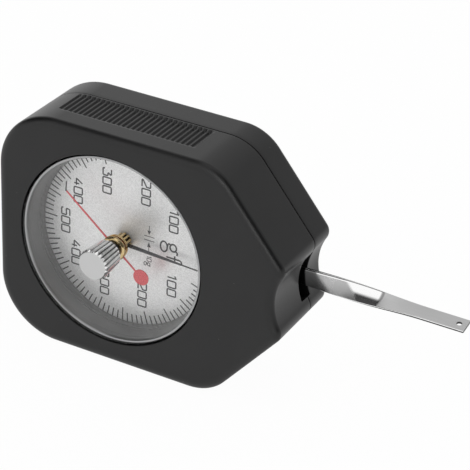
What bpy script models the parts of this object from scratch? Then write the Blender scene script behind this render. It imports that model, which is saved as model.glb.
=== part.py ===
"""Dial tension gauge, modelled as the pieces that it comes apart into.

Metres, +Z up. The dial faces -Y and the measuring lever points to +X.
The origin is where the dial's axis meets the flat back of the case.
A depth is counted from the front face of the case towards its back.
"""
import math

import bmesh
import bpy
from mathutils import Matrix, Vector

# Window, and the case outline round it, seen from the front
window_radius = 0.0255
window_top_margin = 0.0055
window_left_margin = 0.0062
shoulder_margin = 0.0028
nose_length = 0.0182
nose_half_height = 0.0093
nose_hollow = 0.0023
left_corner_radius = 0.0161
shoulder_radius = 0.0124
nose_radius = 0.0030
nose_arc_radius = 0.0140

# Case shells
wall = 0.0018
front_wall = 0.0024
back_wall = 0.0020
lip_wall = 0.0011
lip_height = 0.0014
split_behind_lever = 0.0008
rear_room = 0.0028
front_edge_radius = 0.0012
back_edge_radius = 0.0017

# Clearances, and how far a cutter runs past what it cuts
seat_gap = 0.0003
fine_gap = 0.00015
overrun = 0.0010
weld_distance = 0.000001

# Ribbed grip on the top and bottom of the front shell
grip_end_inset = 0.0068
grip_front_depth = 0.0062
grip_recess = 0.00025
groove_depth = 0.0009
groove_count = 28
groove_width_share = 0.5
groove_floor_share = 0.55

# Slot for the lever in the nose
slot_end_gap = 0.0004
slot_side_gap = 0.0019

# Case screws and their bosses
boss_radius = 0.0026
boss_left_inset = 0.0095
boss_shoulder_inset = 0.0038
boss_top_inset = 0.0088
case_screw_radius = 0.0009
case_screw_grip = 0.0060
case_screw_head_radius = 0.0018
case_screw_head_height = 0.0014
counterbore_depth = 0.0024

# Window well, lens and dial
well_wall = 0.0018
ledge_thickness = 0.0016
ledge_width = 0.0037
lens_gap = 0.0007
lens_front_depth = 0.0
lens_thickness = 0.0010
lens_side_wall = 0.0009
lens_foot_height = 0.0010
lens_chamfer = 0.0002
lens_bush_radius = 0.0019
dial_gap = 0.00025
dial_thickness = 0.0005
dial_hole_radius = 0.0014

# Reset knob, its spindle and the drag pointer
knob_radius = 0.0040
knob_face_radius = 0.00365
knob_rear_radius = 0.00365
knob_length = 0.0073
knob_chamfer_length = 0.0012
knob_rib_count = 22
knob_groove_depth = 0.0004
knob_rear_gap = 0.0004
rib_shares = (0, 0.25, 0.4, 0.85)
spindle_radius = 0.0008
spindle_in_knob = 0.0040
drag_hub_front_gap = 0.0005
drag_hub_radius = 0.00325
drag_hub_face_radius = 0.0026
drag_hub_length = 0.0010
drag_pointer_thickness = 0.0003
drag_pointer_boss_radius = 0.0024
drag_pointer_angle = 140.6
drag_pointer_bend_inset = 0.0076
drag_pointer_root_width = 0.0008
drag_pointer_tip_width = 0.0005
drag_tip_slope = 55.0
drag_disc_distance = 0.00955
drag_disc_radius = 0.0021
drag_collar_radius = 0.0020
drag_collar_length = 0.0009
drag_flange_radius = 0.0031
drag_flange_thickness = 0.0004
washer_radius = 0.0023
washer_thickness = 0.0002

# Live pointer and its hub
pointer_gap = 0.00145
live_pointer_thickness = 0.0003
live_pointer_angle = -2.4
live_pointer_inset = 0.0040
live_pointer_needle = 0.0045
live_pointer_root_width = 0.0012
live_pointer_shoulder_width = 0.0008
live_pointer_needle_width = 0.00035
live_pointer_tail = 0.0030
live_pointer_tail_width = 0.0018
live_pointer_boss_radius = 0.0017
pointer_hub_radius = 0.0020
pointer_hub_length = 0.0013
pointer_hub_rib_count = 16
pointer_hub_groove_depth = 0.0002

# Gear train: the lever's toothed sector drives the pointer's pinion
axle_inset = 0.0155
gear_ratio = 15
pinion_teeth = 10
sector_tooth_count = 15
pressure_angle = 20.0
tooth_width_share = 0.39
flank_shares = (0, 0.35, 0.7, 1)
pinion_addendum_share = 0.85
pinion_dedendum_share = 1.25
sector_addendum_share = 0.8
sector_dedendum_share = 1.4
pinion_length = 0.0020
arbor_radius = 0.0006

# Movement plates and what holds them
front_plate_gap = 0.0009
front_plate_nose_radius = 0.0070
plate_thickness = 0.0010
rear_plate_margin = 0.0040
pillar_radius = 0.0015
pillar_stub_radius = 0.0008
left_pillar_x = -0.0075
right_pillar_inset = 0.0120
right_pillar_z = 0.0135
plate_screw_radius = 0.0005
plate_screw_head_radius = 0.0012
plate_screw_head_height = 0.0008
plate_screw_grip = 0.0018
front_screw_angles = (75.0, 180.0, 285.0)
bush_wall = 0.0010
bush_proud = 0.0003
stop_pin_radius = 0.0008
stop_pin_place_share = 0.65
lever_swing = 12.0

# Lever, its axle and the sector gear
lever_thickness = 0.0005
lever_width = 0.0045
lever_reach = 0.0552
lever_eye_radius = 0.0037
twist_start = 0.0090
twist_length = 0.0360
twist_angle = 82.0
tip_hole_radius = 0.00045
tip_hole_inset = 0.0019
axle_radius = 0.0010
lever_hub_radius = 0.0040
lever_hub_thickness = 0.0016
clamp_thickness = 0.0008
rivet_radius = 0.0005
rivet_head_radius = 0.0009
rivet_head_height = 0.00035
rivet_distance = 0.0024
sector_room = 0.0013
sector_thickness = 0.0010
sector_rim_width = 0.0022
sector_arm_width = 0.0024

# Springs, their collets and studs
main_spring_height = 0.0011
main_spring_strip = 0.0004
main_spring_pitch = 0.0011
main_spring_turns = 4
main_collet_radius = 0.0027
main_collet_length = 0.0014
main_stud_radius = 0.0008
hairspring_room = 0.0026
hairspring_height = 0.0006
hairspring_strip = 0.00015
hairspring_pitch = 0.0008
hairspring_turns = 4
hair_collet_radius = 0.0014
hair_collet_length = 0.0010
hair_stud_radius = 0.0005
spring_stud_angle = 125.0

# Facets
arc_steps = 8
round_steps = 48
small_round_steps = 20
tiny_round_steps = 12
spring_steps_per_turn = 20
edge_steps = 3
twist_steps = 16
smooth_angle = math.radians(35)
edge_angle = math.radians(45)
eye_end_angle = math.radians(22.5)
place_digits = 6

# Places and reaches that follow from the window and the case round it
case_half_height = window_radius + window_top_margin
case_left = window_radius + window_left_margin
shoulder_x = window_radius + shoulder_margin
nose_x = shoulder_x + nose_length
axle_x = nose_x - axle_inset
grip_half_length = window_radius - grip_end_inset
left_boss_x = case_left - boss_left_inset
right_boss_x = shoulder_x - boss_shoulder_inset
boss_z = case_half_height - boss_top_inset
lens_radius = window_radius - lens_gap
front_plate_radius = window_radius - front_plate_gap
right_pillar_x = axle_x - right_pillar_inset
drag_pointer_bend_radius = window_radius - drag_pointer_bend_inset
live_pointer_length = window_radius - live_pointer_inset

# Depths of the knob and the drag pointer, counted from the lens to the back
knob_rear_depth = lens_front_depth - knob_rear_gap
knob_front_depth = knob_rear_depth - knob_length
drag_hub_depth = lens_front_depth + lens_thickness + drag_hub_front_gap
drag_pointer_depth = drag_hub_depth + drag_hub_length + fine_gap
drag_collar_depth = drag_pointer_depth + drag_pointer_thickness + fine_gap
spindle_rear_depth = drag_collar_depth + drag_collar_length + fine_gap

# Depths of the live pointer, the dial and the ledge that carries both dial and movement
arbor_front_depth = spindle_rear_depth + pointer_gap - fine_gap
live_pointer_depth = spindle_rear_depth + pointer_gap
pointer_hub_depth = live_pointer_depth + live_pointer_thickness + fine_gap
dial_depth = pointer_hub_depth + pointer_hub_length + dial_gap
lens_rear_depth = dial_depth - seat_gap
ledge_depth = dial_depth + dial_thickness + seat_gap
ledge_rear_depth = ledge_depth + ledge_thickness

# Depths of the movement, from its front plate to its rear plate
front_plate_depth = ledge_rear_depth + fine_gap
front_plate_rear = front_plate_depth + plate_thickness
sector_depth = front_plate_rear + sector_room
sector_rear = sector_depth + sector_thickness
lever_hub_depth = sector_rear + fine_gap
lever_front = lever_hub_depth + lever_hub_thickness + fine_gap
lever_depth = lever_front + lever_thickness / 2
lever_rear = lever_front + lever_thickness
clamp_depth = lever_rear + fine_gap
main_collet_depth = clamp_depth + clamp_thickness + rivet_head_height + 2 * seat_gap
main_spring_depth = main_collet_depth + main_collet_length / 2
hairspring_depth = sector_rear + hairspring_room + hair_collet_length / 2
rear_plate_depth = main_collet_depth + main_collet_length + bush_proud + fine_gap

# Depths of the case, and the slot's size from the lever's swing
split_depth = lever_depth + split_behind_lever
boss_top_depth = split_depth - seat_gap
case_depth = rear_plate_depth + plate_thickness + rear_room + back_wall
slot_front_depth = lever_depth - lever_thickness / 2 - slot_side_gap
slot_rear_depth = lever_depth + lever_thickness / 2 + slot_side_gap
slot_reach = nose_x - axle_x
slot_half_height = (slot_reach * math.sin(math.radians(lever_swing)) +
                    lever_width / 2 * math.cos(math.radians(lever_swing)) + slot_end_gap)

# Gear sizes: the two pitch circles touch on the line from the dial's axis to the axle
pinion_pitch_radius = axle_x / (gear_ratio + 1)
sector_pitch_radius = axle_x - pinion_pitch_radius
tooth_module = 2 * pinion_pitch_radius / pinion_teeth
tooth_width = math.pi * tooth_module * tooth_width_share
pinion_tip_radius = pinion_pitch_radius + pinion_addendum_share * tooth_module
pinion_root_radius = pinion_pitch_radius - pinion_dedendum_share * tooth_module
sector_tip_radius = sector_pitch_radius + sector_addendum_share * tooth_module
sector_root_radius = sector_pitch_radius - sector_dedendum_share * tooth_module
sector_half_angle = 180.0 / (pinion_teeth * gear_ratio) * sector_tooth_count

# Name: red, green, blue, metallic, roughness
finishes = {
    "case_plastic": (0.040, 0.040, 0.042, 0.0, 0.55),
    "clear_acrylic": (0.80, 0.82, 0.82, 0.0, 0.05),
    "dial_silver": (0.62, 0.62, 0.61, 0.3, 0.45),
    "knob_aluminium": (0.60, 0.60, 0.60, 0.9, 0.35),
    "brass": (0.45, 0.29, 0.09, 1.0, 0.28),
    "pointer_red": (0.60, 0.07, 0.10, 0.0, 0.45),
    "pointer_black": (0.015, 0.015, 0.016, 0.0, 0.45),
    "lever_steel": (0.50, 0.50, 0.50, 1.0, 0.25),
    "spring_steel": (0.22, 0.23, 0.27, 1.0, 0.30),
    "screw_steel": (0.33, 0.33, 0.34, 1.0, 0.35),
}


def clear_scene():
    """Empty the scene, and make the collections for the pieces and for the cutters."""
    for item in list(bpy.data.objects):
        bpy.data.objects.remove(item, do_unlink=True)
    for name in ("dial_tension_gauge", "cutters"):
        folder = bpy.data.collections.new(name)
        bpy.context.scene.collection.children.link(folder)


def finish(name):
    """The material of that name, made on first use."""
    found = bpy.data.materials.get(name)
    if found:
        return found
    red, green, blue, metallic, roughness = finishes[name]
    made = bpy.data.materials.new(name)
    made.use_nodes = True
    shader = made.node_tree.nodes["Principled BSDF"]
    shader.inputs["Base Color"].default_value = (red, green, blue, 1)
    shader.inputs["Metallic"].default_value = metallic
    shader.inputs["Roughness"].default_value = roughness
    return made


def place(name, mesh, look, at=(0, 0)):
    """Put a mesh into the model. Its own X, Y and Z are the model's X, Z and minus depth."""
    item = bpy.data.objects.new(name, mesh)
    if look:
        mesh.materials.append(finish(look))
        folder = bpy.data.collections["dial_tension_gauge"]
    else:
        item.hide_render = True
        item.display_type = "WIRE"
        folder = bpy.data.collections["cutters"]
    folder.objects.link(item)
    item.location = (at[0], -case_depth, at[1])
    item.rotation_euler = (math.pi / 2, 0, 0)
    mesh.shade_smooth()
    mesh.set_sharp_from_angle(angle=smooth_angle)
    return item


def arc(centre, radius, start, end, steps):
    """Points of an arc, from one angle to another in radians, both ends included."""
    turns = [start + (end - start) * i / steps for i in range(steps + 1)]
    return [(centre[0] + radius * math.cos(a), centre[1] + radius * math.sin(a)) for a in turns]


def circle(radius, centre=(0, 0), steps=small_round_steps):
    """Points of a full circle, with the last point left out."""
    return arc(centre, radius, 0, 2 * math.pi, steps)[:-1]


def baked(data, modifier=None, **settings):
    """Closed mesh of a curve or of a profile with one modifier, with its faces turned outwards."""
    holder = bpy.data.objects.new(data.name, data)
    bpy.context.scene.collection.objects.link(holder)
    if modifier:
        change = holder.modifiers.new(modifier.lower(), modifier)
        for setting, value in settings.items():
            setattr(change, setting, value)
    view = bpy.context.evaluated_depsgraph_get()
    mesh = bpy.data.meshes.new_from_object(holder.evaluated_get(view))
    bpy.data.objects.remove(holder, do_unlink=True)
    shape = bmesh.new()
    shape.from_mesh(mesh)
    bmesh.ops.remove_doubles(shape, verts=shape.verts, dist=weld_distance)
    bmesh.ops.recalc_face_normals(shape, faces=shape.faces)
    shape.to_mesh(mesh)
    shape.free()
    mesh.materials.clear()
    return mesh


def flat_mesh(outlines, near, far):
    """A plate from closed outlines, the inner ones being holes, between two depths."""
    curve = bpy.data.curves.new("outline", "CURVE")
    curve.dimensions = "2D"
    curve.fill_mode = "BOTH"
    curve.extrude = (far - near) / 2
    for outline in outlines:
        spline = curve.splines.new("POLY")
        spline.points.add(len(outline) - 1)
        for point, (x, z) in zip(spline.points, outline):
            point.co = (x, z, 0, 1)
        spline.use_cyclic_u = True
    mesh = baked(curve)
    mesh.transform(Matrix.Translation((0, 0, -(near + far) / 2)))
    return mesh


def plate(name, outlines, near, far, look, at=(0, 0)):
    """A flat piece, or a cutter where it has no look."""
    return place(name, flat_mesh(outlines, near, far), look, at)


def turned(name, profile, look, at=(0, 0), steps=small_round_steps, ring=False):
    """A turned piece: its profile of radius and depth runs from the front along its outer side."""
    mesh = bpy.data.meshes.new(name)
    points = [(radius, 0, -depth) for radius, depth in profile]
    edges = [(i, i + 1) for i in range(len(points) - 1)]
    if ring:
        edges.append((len(points) - 1, 0))
    mesh.from_pydata(points, edges, [])
    solid = baked(mesh, "SCREW", steps=steps, render_steps=steps, use_merge_vertices=True,
                  merge_threshold=weld_distance)
    return place(name, solid, look, at)


def rod(name, radius, near, far, look, at=(0, 0), steps=small_round_steps):
    """A plain round rod along the depth."""
    profile = [(0, near), (radius, near), (radius, far), (0, far)]
    return turned(name, profile, look, at, steps)


def tube(name, radius, bore, near, far, look, at=(0, 0), steps=small_round_steps):
    """A plain round sleeve along the depth."""
    profile = [(radius, near), (radius, far), (bore, far), (bore, near)]
    return turned(name, profile, look, at, steps, ring=True)


def stepped_rod(name, sections, look, at=(0, 0), steps=small_round_steps):
    """A shouldered rod: each section is a radius with its near and far depth, front to back."""
    profile = [(0, sections[0][1])]
    for radius, near, far in sections:
        profile += [(radius, near), (radius, far)]
    profile.append((0, sections[-1][2]))
    return turned(name, profile, look, at, steps)


def boolean(item, tool, operation):
    """Join to an object, cut from it or keep what both share."""
    change = item.modifiers.new(operation.lower(), "BOOLEAN")
    change.operation = operation
    change.solver = "EXACT"
    change.object = tool


def cut(item, tool):
    """Cut a tool out of an object."""
    boolean(item, tool, "DIFFERENCE")


def join(item, tool):
    """Join a tool's solid to an object."""
    boolean(item, tool, "UNION")


def round_edges(item, depth, radius):
    """Round the outline's edges that lie at one depth."""
    shape = bmesh.new()
    shape.from_mesh(item.data)
    weight = shape.edges.layers.float.new("bevel_weight_edge")
    for edge in shape.edges:
        flat = all(abs(corner.co.z + depth) < weld_distance for corner in edge.verts)
        if flat and len(edge.link_faces) == 2 and edge.calc_face_angle() > edge_angle:
            edge[weight] = 1
    shape.to_mesh(item.data)
    shape.free()
    bevel = item.modifiers.new("edge", "BEVEL")
    bevel.limit_method = "WEIGHT"
    bevel.width = radius
    bevel.segments = edge_steps


def case_outline(inset):
    """The case's outline, moved in by an inset: straight sides, round corners and a hollow nose."""
    slope = Vector((nose_x - shoulder_x, nose_half_height - case_half_height)).normalized()
    outward = Vector((-slope.y, slope.x))
    slope_angle = math.atan2(outward.y, outward.x)
    half_turn = (math.pi / 2 - slope_angle) / 2
    shoulder = (shoulder_x - shoulder_radius * math.tan(half_turn), case_half_height - shoulder_radius)
    left = (left_corner_radius - case_left, case_half_height - left_corner_radius)
    hollow = Vector((nose_x - nose_hollow + nose_arc_radius, 0))
    reach = nose_arc_radius + nose_radius
    start = Vector((nose_x, nose_half_height)) - outward * nose_radius - hollow
    along = start.dot(slope)
    corner = start - slope * (along + math.sqrt(along ** 2 - start.length ** 2 + reach ** 2)) + hollow
    lean = math.atan2(corner.y, corner.x - hollow.x)
    upper = arc(hollow, nose_arc_radius + inset, math.pi, lean, arc_steps)
    upper += arc(corner, nose_radius - inset, lean - math.pi, slope_angle, arc_steps)
    upper += arc(shoulder, shoulder_radius - inset, slope_angle, math.pi / 2, arc_steps)
    upper += arc(left, left_corner_radius - inset, math.pi / 2, math.pi, arc_steps)
    lower = [(x, -z) for x, z in reversed(upper[1:])]
    return upper + lower


def hull_of_circles(centres, radius):
    """The outline round equal circles, whose centres run round a convex shape against the clock."""
    outline = []
    for i, centre in enumerate(centres):
        before = Vector(centre) - Vector(centres[i - 1])
        after = Vector(centres[(i + 1) % len(centres)]) - Vector(centre)
        start = math.atan2(-before.x, before.y)
        end = math.atan2(-after.x, after.y)
        if end < start:
            end += 2 * math.pi
        outline += arc(centre, radius, start, end, arc_steps)
    return outline


def hull_of_two(radius, far_x, far_radius):
    """The outline round a circle on the dial's axis and a smaller one beside it on the X axis."""
    lean = math.acos((radius - far_radius) / far_x)
    small = arc((far_x, 0), far_radius, -lean, lean, arc_steps)
    large = arc((0, 0), radius, lean, 2 * math.pi - lean, round_steps)
    return small + large


def grip_outlines(side):
    """Outlines of the grip's panel and of its grooves, on top for side 1 and below for side -1."""
    high = case_half_height + overrun
    panel_floor = case_half_height - grip_recess
    groove_floor = case_half_height - groove_depth
    half, pitch = grip_half_length, 2 * grip_half_length / groove_count
    panel = [(-half, panel_floor), (half, panel_floor), (half, high), (-half, high)]
    floor = pitch * groove_width_share * groove_floor_share / 2
    flare = (pitch * groove_width_share / 2 - floor) / (panel_floor - groove_floor)
    mouth = floor + flare * (high - groove_floor)
    grooves = []
    for i in range(groove_count):
        middle = -half + (i + 1 / 2) * pitch
        grooves.append([(middle - floor, groove_floor), (middle + floor, groove_floor),
                        (middle + mouth, high), (middle - mouth, high)])
    return [[(x, side * z) for x, z in outline] for outline in [panel] + grooves]


def slot_outline(half):
    """Outline of a cut through the nose, of a half height, for the lever's slot."""
    start = nose_x - nose_hollow - wall - lip_wall - overrun
    return [(start, -half), (nose_x + overrun, -half), (nose_x + overrun, half), (start, half)]


def boss_places():
    """Where the four case screws stand."""
    return [(x, z) for z in (boss_z, -boss_z) for x in (-left_boss_x, right_boss_x)]


def front_screw_places():
    """Where the three screws of the front movement plate stand, on the well's ledge."""
    radius = window_radius - ledge_width / 2
    turns = [math.radians(angle) for angle in front_screw_angles]
    return [(radius * math.cos(a), radius * math.sin(a)) for a in turns]


def pillar_places():
    """Where the three pillars between the movement plates stand."""
    return [(left_pillar_x, 0), (right_pillar_x, -right_pillar_z), (right_pillar_x, right_pillar_z)]


def make_front_shell():
    """Front shell: window well, screw bosses, lever slot and ribbed grips."""
    shell = plate("front_shell", [case_outline(0)], 0, split_depth, "case_plastic")
    round_edges(shell, 0, front_edge_radius)
    cut(shell, plate("front_hollow", [case_outline(wall)], front_wall, split_depth + overrun, None))
    well = rod("well", window_radius + well_wall, front_wall / 2, ledge_rear_depth, None,
               steps=round_steps)
    join(shell, well)
    opening = [(window_radius, -overrun, ledge_depth),
               (window_radius - ledge_width, ledge_depth, ledge_rear_depth + overrun)]
    cut(shell, stepped_rod("well_opening", opening, None, steps=round_steps))
    for i, at in enumerate(boss_places()):
        join(shell, rod(f"front_boss_{i + 1}", boss_radius, front_wall / 2, boss_top_depth, None, at))
        hole_start = split_depth - case_screw_grip - seat_gap
        hole_radius = case_screw_radius + seat_gap
        cut(shell, rod(f"front_boss_hole_{i + 1}", hole_radius, hole_start, split_depth + overrun,
                       None, at, tiny_round_steps))
    for i, at in enumerate(front_screw_places()):
        hole_radius = plate_screw_radius + fine_gap
        cut(shell, rod(f"ledge_hole_{i + 1}", hole_radius, ledge_depth - overrun,
                       ledge_rear_depth + overrun, None, at, tiny_round_steps))
    slot = slot_outline(slot_half_height)
    cut(shell, plate("front_slot", [slot], slot_front_depth, split_depth + overrun, None))
    for side, name in ((1, "top_grip"), (-1, "bottom_grip")):
        panel, *grooves = grip_outlines(side)
        near, far = grip_front_depth, split_depth + overrun
        cut(shell, plate(f"{name}_panel", [panel], near, far, None))
        cut(shell, plate(f"{name}_grooves", grooves, near + grip_recess, far, None))


def make_rear_cover():
    """Rear cover: a lip that enters the front shell, and bosses with counterbores for the screws."""
    near = split_depth + seat_gap
    cover = plate("rear_cover", [case_outline(0)], near, case_depth, "case_plastic")
    round_edges(cover, case_depth, back_edge_radius)
    lip = plate("rear_lip", [case_outline(wall + seat_gap)], split_depth - lip_height,
                near + overrun, None)
    join(cover, lip)
    cut(cover, plate("rear_hollow", [case_outline(wall + lip_wall)],
                     split_depth - lip_height - overrun, case_depth - back_wall, None))
    notch = slot_outline(slot_half_height + seat_gap)
    cut(cover, plate("lip_notch", [notch], split_depth - lip_height - overrun, near, None))
    slot = slot_outline(slot_half_height)
    cut(cover, plate("rear_slot", [slot], near - overrun, slot_rear_depth, None))
    for i, at in enumerate(boss_places()):
        join(cover, rod(f"rear_boss_{i + 1}", boss_radius, near, case_depth - back_wall / 2, None, at))
        hole = [(case_screw_radius + seat_gap, near - overrun, case_depth - counterbore_depth),
                (case_screw_head_radius + seat_gap, case_depth - counterbore_depth,
                 case_depth + overrun)]
        cut(cover, stepped_rod(f"rear_boss_hole_{i + 1}", hole, None, at))


def make_case_screws():
    """Four screws that hold the rear cover, with their heads sunk in the counterbores."""
    head_near = case_depth - counterbore_depth + seat_gap
    for i, at in enumerate(boss_places()):
        parts = [(case_screw_radius, split_depth - case_screw_grip, head_near),
                 (case_screw_head_radius, head_near, head_near + case_screw_head_height)]
        stepped_rod(f"case_screw_{i + 1}", parts, "screw_steel", at, tiny_round_steps)


def make_lens():
    """Clear cup over the dial, with a foot at its rear edge and a bush in its middle."""
    front = lens_front_depth
    inner = lens_radius - lens_side_wall
    foot = window_radius - seat_gap
    hole = lens_bush_radius + fine_gap
    foot_depth = lens_rear_depth - lens_foot_height
    profile = [(hole, front), (lens_radius - lens_chamfer, front), (lens_radius, front + lens_chamfer),
               (lens_radius, foot_depth), (foot, foot_depth), (foot, lens_rear_depth),
               (inner, lens_rear_depth), (inner, front + lens_thickness),
               (hole, front + lens_thickness)]
    turned("lens", profile, "clear_acrylic", steps=round_steps, ring=True)
    tube("lens_bush", lens_bush_radius, spindle_radius + fine_gap, front,
         front + lens_thickness + fine_gap, "brass")


def make_dial():
    """Dial plate on the well's ledge, with a hole for the pointer's arbor."""
    outlines = [circle(window_radius - seat_gap, steps=round_steps), circle(dial_hole_radius)]
    plate("dial_plate", outlines, dial_depth, dial_depth + dial_thickness, "dial_silver")


def ribbed_outline(radius, groove, count):
    """A round outline with straight ribs, each with a flat top and a flat-bottomed groove."""
    outline = []
    for i in range(count):
        for share, depth in zip(rib_shares, (groove, groove, 0, 0)):
            angle = 2 * math.pi * (i + share) / count
            outline.append(((radius - depth) * math.cos(angle), (radius - depth) * math.sin(angle)))
    return outline


def make_knob():
    """Ribbed reset knob outside the lens, tapered towards it, and the spindle that runs through."""
    near, far = knob_front_depth, knob_rear_depth
    outline = ribbed_outline(knob_radius + fine_gap, knob_groove_depth + fine_gap, knob_rib_count)
    knob = plate("reset_knob", [outline], near, far, "knob_aluminium")
    slope = (knob_radius - knob_face_radius) / knob_chamfer_length
    shape = [(knob_face_radius - slope * overrun, near - overrun),
             (knob_radius, near + knob_chamfer_length), (knob_rear_radius, far),
             (knob_rear_radius, far + overrun)]
    envelope = turned("knob_envelope", [(0, near - overrun)] + shape + [(0, far + overrun)], None,
                      steps=round_steps)
    boolean(knob, envelope, "INTERSECT")
    cut(knob, rod("knob_bore", spindle_radius + fine_gap, far - spindle_in_knob - fine_gap,
                  far + overrun, None))
    spindle = rod("knob_spindle", spindle_radius, far - spindle_in_knob, spindle_rear_depth,
                  "screw_steel")
    return [knob, spindle]


def make_drag_hub():
    """Domed brass hub behind the lens, the spring washer before it and the collar behind it."""
    bore = spindle_radius + fine_gap
    near = drag_hub_depth
    far = near + drag_hub_length
    rise = drag_hub_radius - drag_hub_face_radius
    dome = [(drag_hub_face_radius + rise * math.sin(a), near + (drag_hub_length - rise) *
             (1 - math.cos(a))) for a in (math.pi / 2 * i / arc_steps for i in range(arc_steps + 1))]
    profile = [(bore, near)] + dome + [(drag_hub_radius, far), (bore, far)]
    hub = turned("drag_hub", profile, "brass", ring=True)
    near = drag_collar_depth
    far = near + drag_flange_thickness
    profile = [(bore, near), (drag_flange_radius, near), (drag_flange_radius, far),
               (drag_collar_radius, far), (drag_collar_radius, near + drag_collar_length),
               (bore, near + drag_collar_length)]
    collar = turned("drag_collar", profile, "brass", ring=True)
    lens_rear = lens_front_depth + lens_thickness
    washer_near = lens_rear + (drag_hub_front_gap - washer_thickness) / 2
    tube("friction_washer", washer_radius, bore, washer_near, washer_near + washer_thickness,
         "spring_steel")
    return [hub, collar]


def make_drag_pointer():
    """Red pointer that stays at the highest reading: disc, arm and a tip bent towards the dial."""
    near = drag_pointer_depth
    far = near + drag_pointer_thickness
    pointer = plate("drag_pointer", [circle(drag_pointer_boss_radius)], near, far, "pointer_red")
    disc = plate("drag_disc", [circle(drag_disc_radius, (-drag_disc_distance, 0))], near, far, None)
    root, tip, bend = drag_pointer_root_width / 2, drag_pointer_tip_width / 2, drag_pointer_bend_radius
    arm = plate("drag_arm", [[(-drag_disc_distance, -root), (bend, -tip), (bend, tip),
                              (-drag_disc_distance, root)]], near, far, None)
    drop = live_pointer_depth - seat_gap - far
    slope = math.radians(drag_tip_slope)
    tip_length = drop / math.sin(slope)
    mesh = bpy.data.meshes.new("drag_tip")
    shape = bmesh.new()
    size = (tip_length + drag_pointer_thickness, drag_pointer_tip_width, drag_pointer_thickness)
    bmesh.ops.create_cube(shape, size=1, matrix=Matrix.Diagonal((*size, 1)))
    turn = Matrix.Rotation(slope, 4, "Y")
    middle = Vector((bend + tip_length / 2 * math.cos(slope), 0, -far - drop / 2 +
                     drag_pointer_thickness / 2))
    shape.transform(Matrix.Translation(middle) @ turn)
    shape.to_mesh(mesh)
    shape.free()
    bent_tip = place("drag_tip", mesh, None)
    for tool in (disc, arm, bent_tip):
        join(pointer, tool)
        tool.parent = pointer
        tool.matrix_parent_inverse = pointer.matrix_basis.inverted()
    cut(pointer, rod("drag_pointer_hole", spindle_radius + fine_gap, near - overrun, far + overrun,
                     None))
    pointer.rotation_euler = (math.pi / 2, -math.radians(drag_pointer_angle), 0)
    return pointer


def make_live_pointer():
    """Black pointer: a lance with a thin needle end and a short tail."""
    end = live_pointer_length
    shoulder = end - live_pointer_needle
    root, wide, thin = (live_pointer_root_width / 2, live_pointer_shoulder_width / 2,
                        live_pointer_needle_width / 2)
    tail, tail_half = live_pointer_tail, live_pointer_tail_width / 2
    lance = [(-tail, -tail_half), (0, -root), (shoulder - wide, -wide), (shoulder, -thin),
             (end, -thin), (end, thin), (shoulder, thin), (shoulder - wide, wide), (0, root),
             (-tail, tail_half)]
    near = live_pointer_depth
    far = near + live_pointer_thickness
    pointer = plate("live_pointer", [lance], near, far, "pointer_black")
    boss = plate("live_pointer_boss", [circle(live_pointer_boss_radius)], near, far, None)
    join(pointer, boss)
    cut(pointer, rod("live_pointer_hole", arbor_radius + fine_gap, near - overrun, far + overrun,
                     None, steps=tiny_round_steps))
    return pointer


def make_pointer_hub():
    """Small ribbed brass hub that fixes the live pointer to its arbor."""
    outline = ribbed_outline(pointer_hub_radius, pointer_hub_groove_depth, pointer_hub_rib_count)
    hole = circle(arbor_radius + fine_gap, steps=tiny_round_steps)
    return plate("pointer_hub", [outline, hole], pointer_hub_depth,
                 pointer_hub_depth + pointer_hub_length, "brass")


def tooth_half_angle(radius, pitch_radius):
    """Half the angle that an involute tooth takes up at a radius."""
    pressure = math.radians(pressure_angle)
    base = pitch_radius * math.cos(pressure)
    local = math.acos(min(1, base / radius))
    widening = (math.tan(pressure) - pressure) - (math.tan(local) - local)
    return tooth_width / 2 / pitch_radius + widening


def teeth(count, first, pitch, pitch_radius, root, tip):
    """Outline points of teeth in a row against the clock, from the angle of the first one's middle."""
    radii = [root + (tip - root) * share for share in flank_shares]
    outline = []
    for i in range(count):
        middle = first + i * pitch
        rising = [(radius, middle - tooth_half_angle(radius, pitch_radius)) for radius in radii]
        falling = [(radius, 2 * middle - angle) for radius, angle in reversed(rising)]
        outline += [(r * math.cos(a), r * math.sin(a)) for r, a in rising + falling]
    return outline


def make_pinion_arbor():
    """Pointer arbor with its ten-tooth pinion, from the live pointer to the rear plate."""
    sector_middle = sector_depth + sector_thickness / 2
    pitch = 2 * math.pi / pinion_teeth
    outline = teeth(pinion_teeth, pitch / 2, pitch, pinion_pitch_radius, pinion_root_radius,
                    pinion_tip_radius)
    arbor = plate("pinion_arbor", [outline], sector_middle - pinion_length / 2,
                  sector_middle + pinion_length / 2, "lever_steel")
    shaft = rod("arbor_shaft", arbor_radius, arbor_front_depth, rear_plate_depth + plate_thickness,
                None, steps=tiny_round_steps)
    join(arbor, shaft)
    return arbor


def sector_side():
    """Ends of the sector's upper side, on its hub and on its rim, counted from the axle."""
    half = math.radians(sector_half_angle)
    hub_end = (-lever_hub_radius * math.sin(half), lever_hub_radius * math.cos(half))
    rim_end = (-sector_root_radius * math.cos(half), sector_root_radius * math.sin(half))
    return hub_end, rim_end


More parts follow.
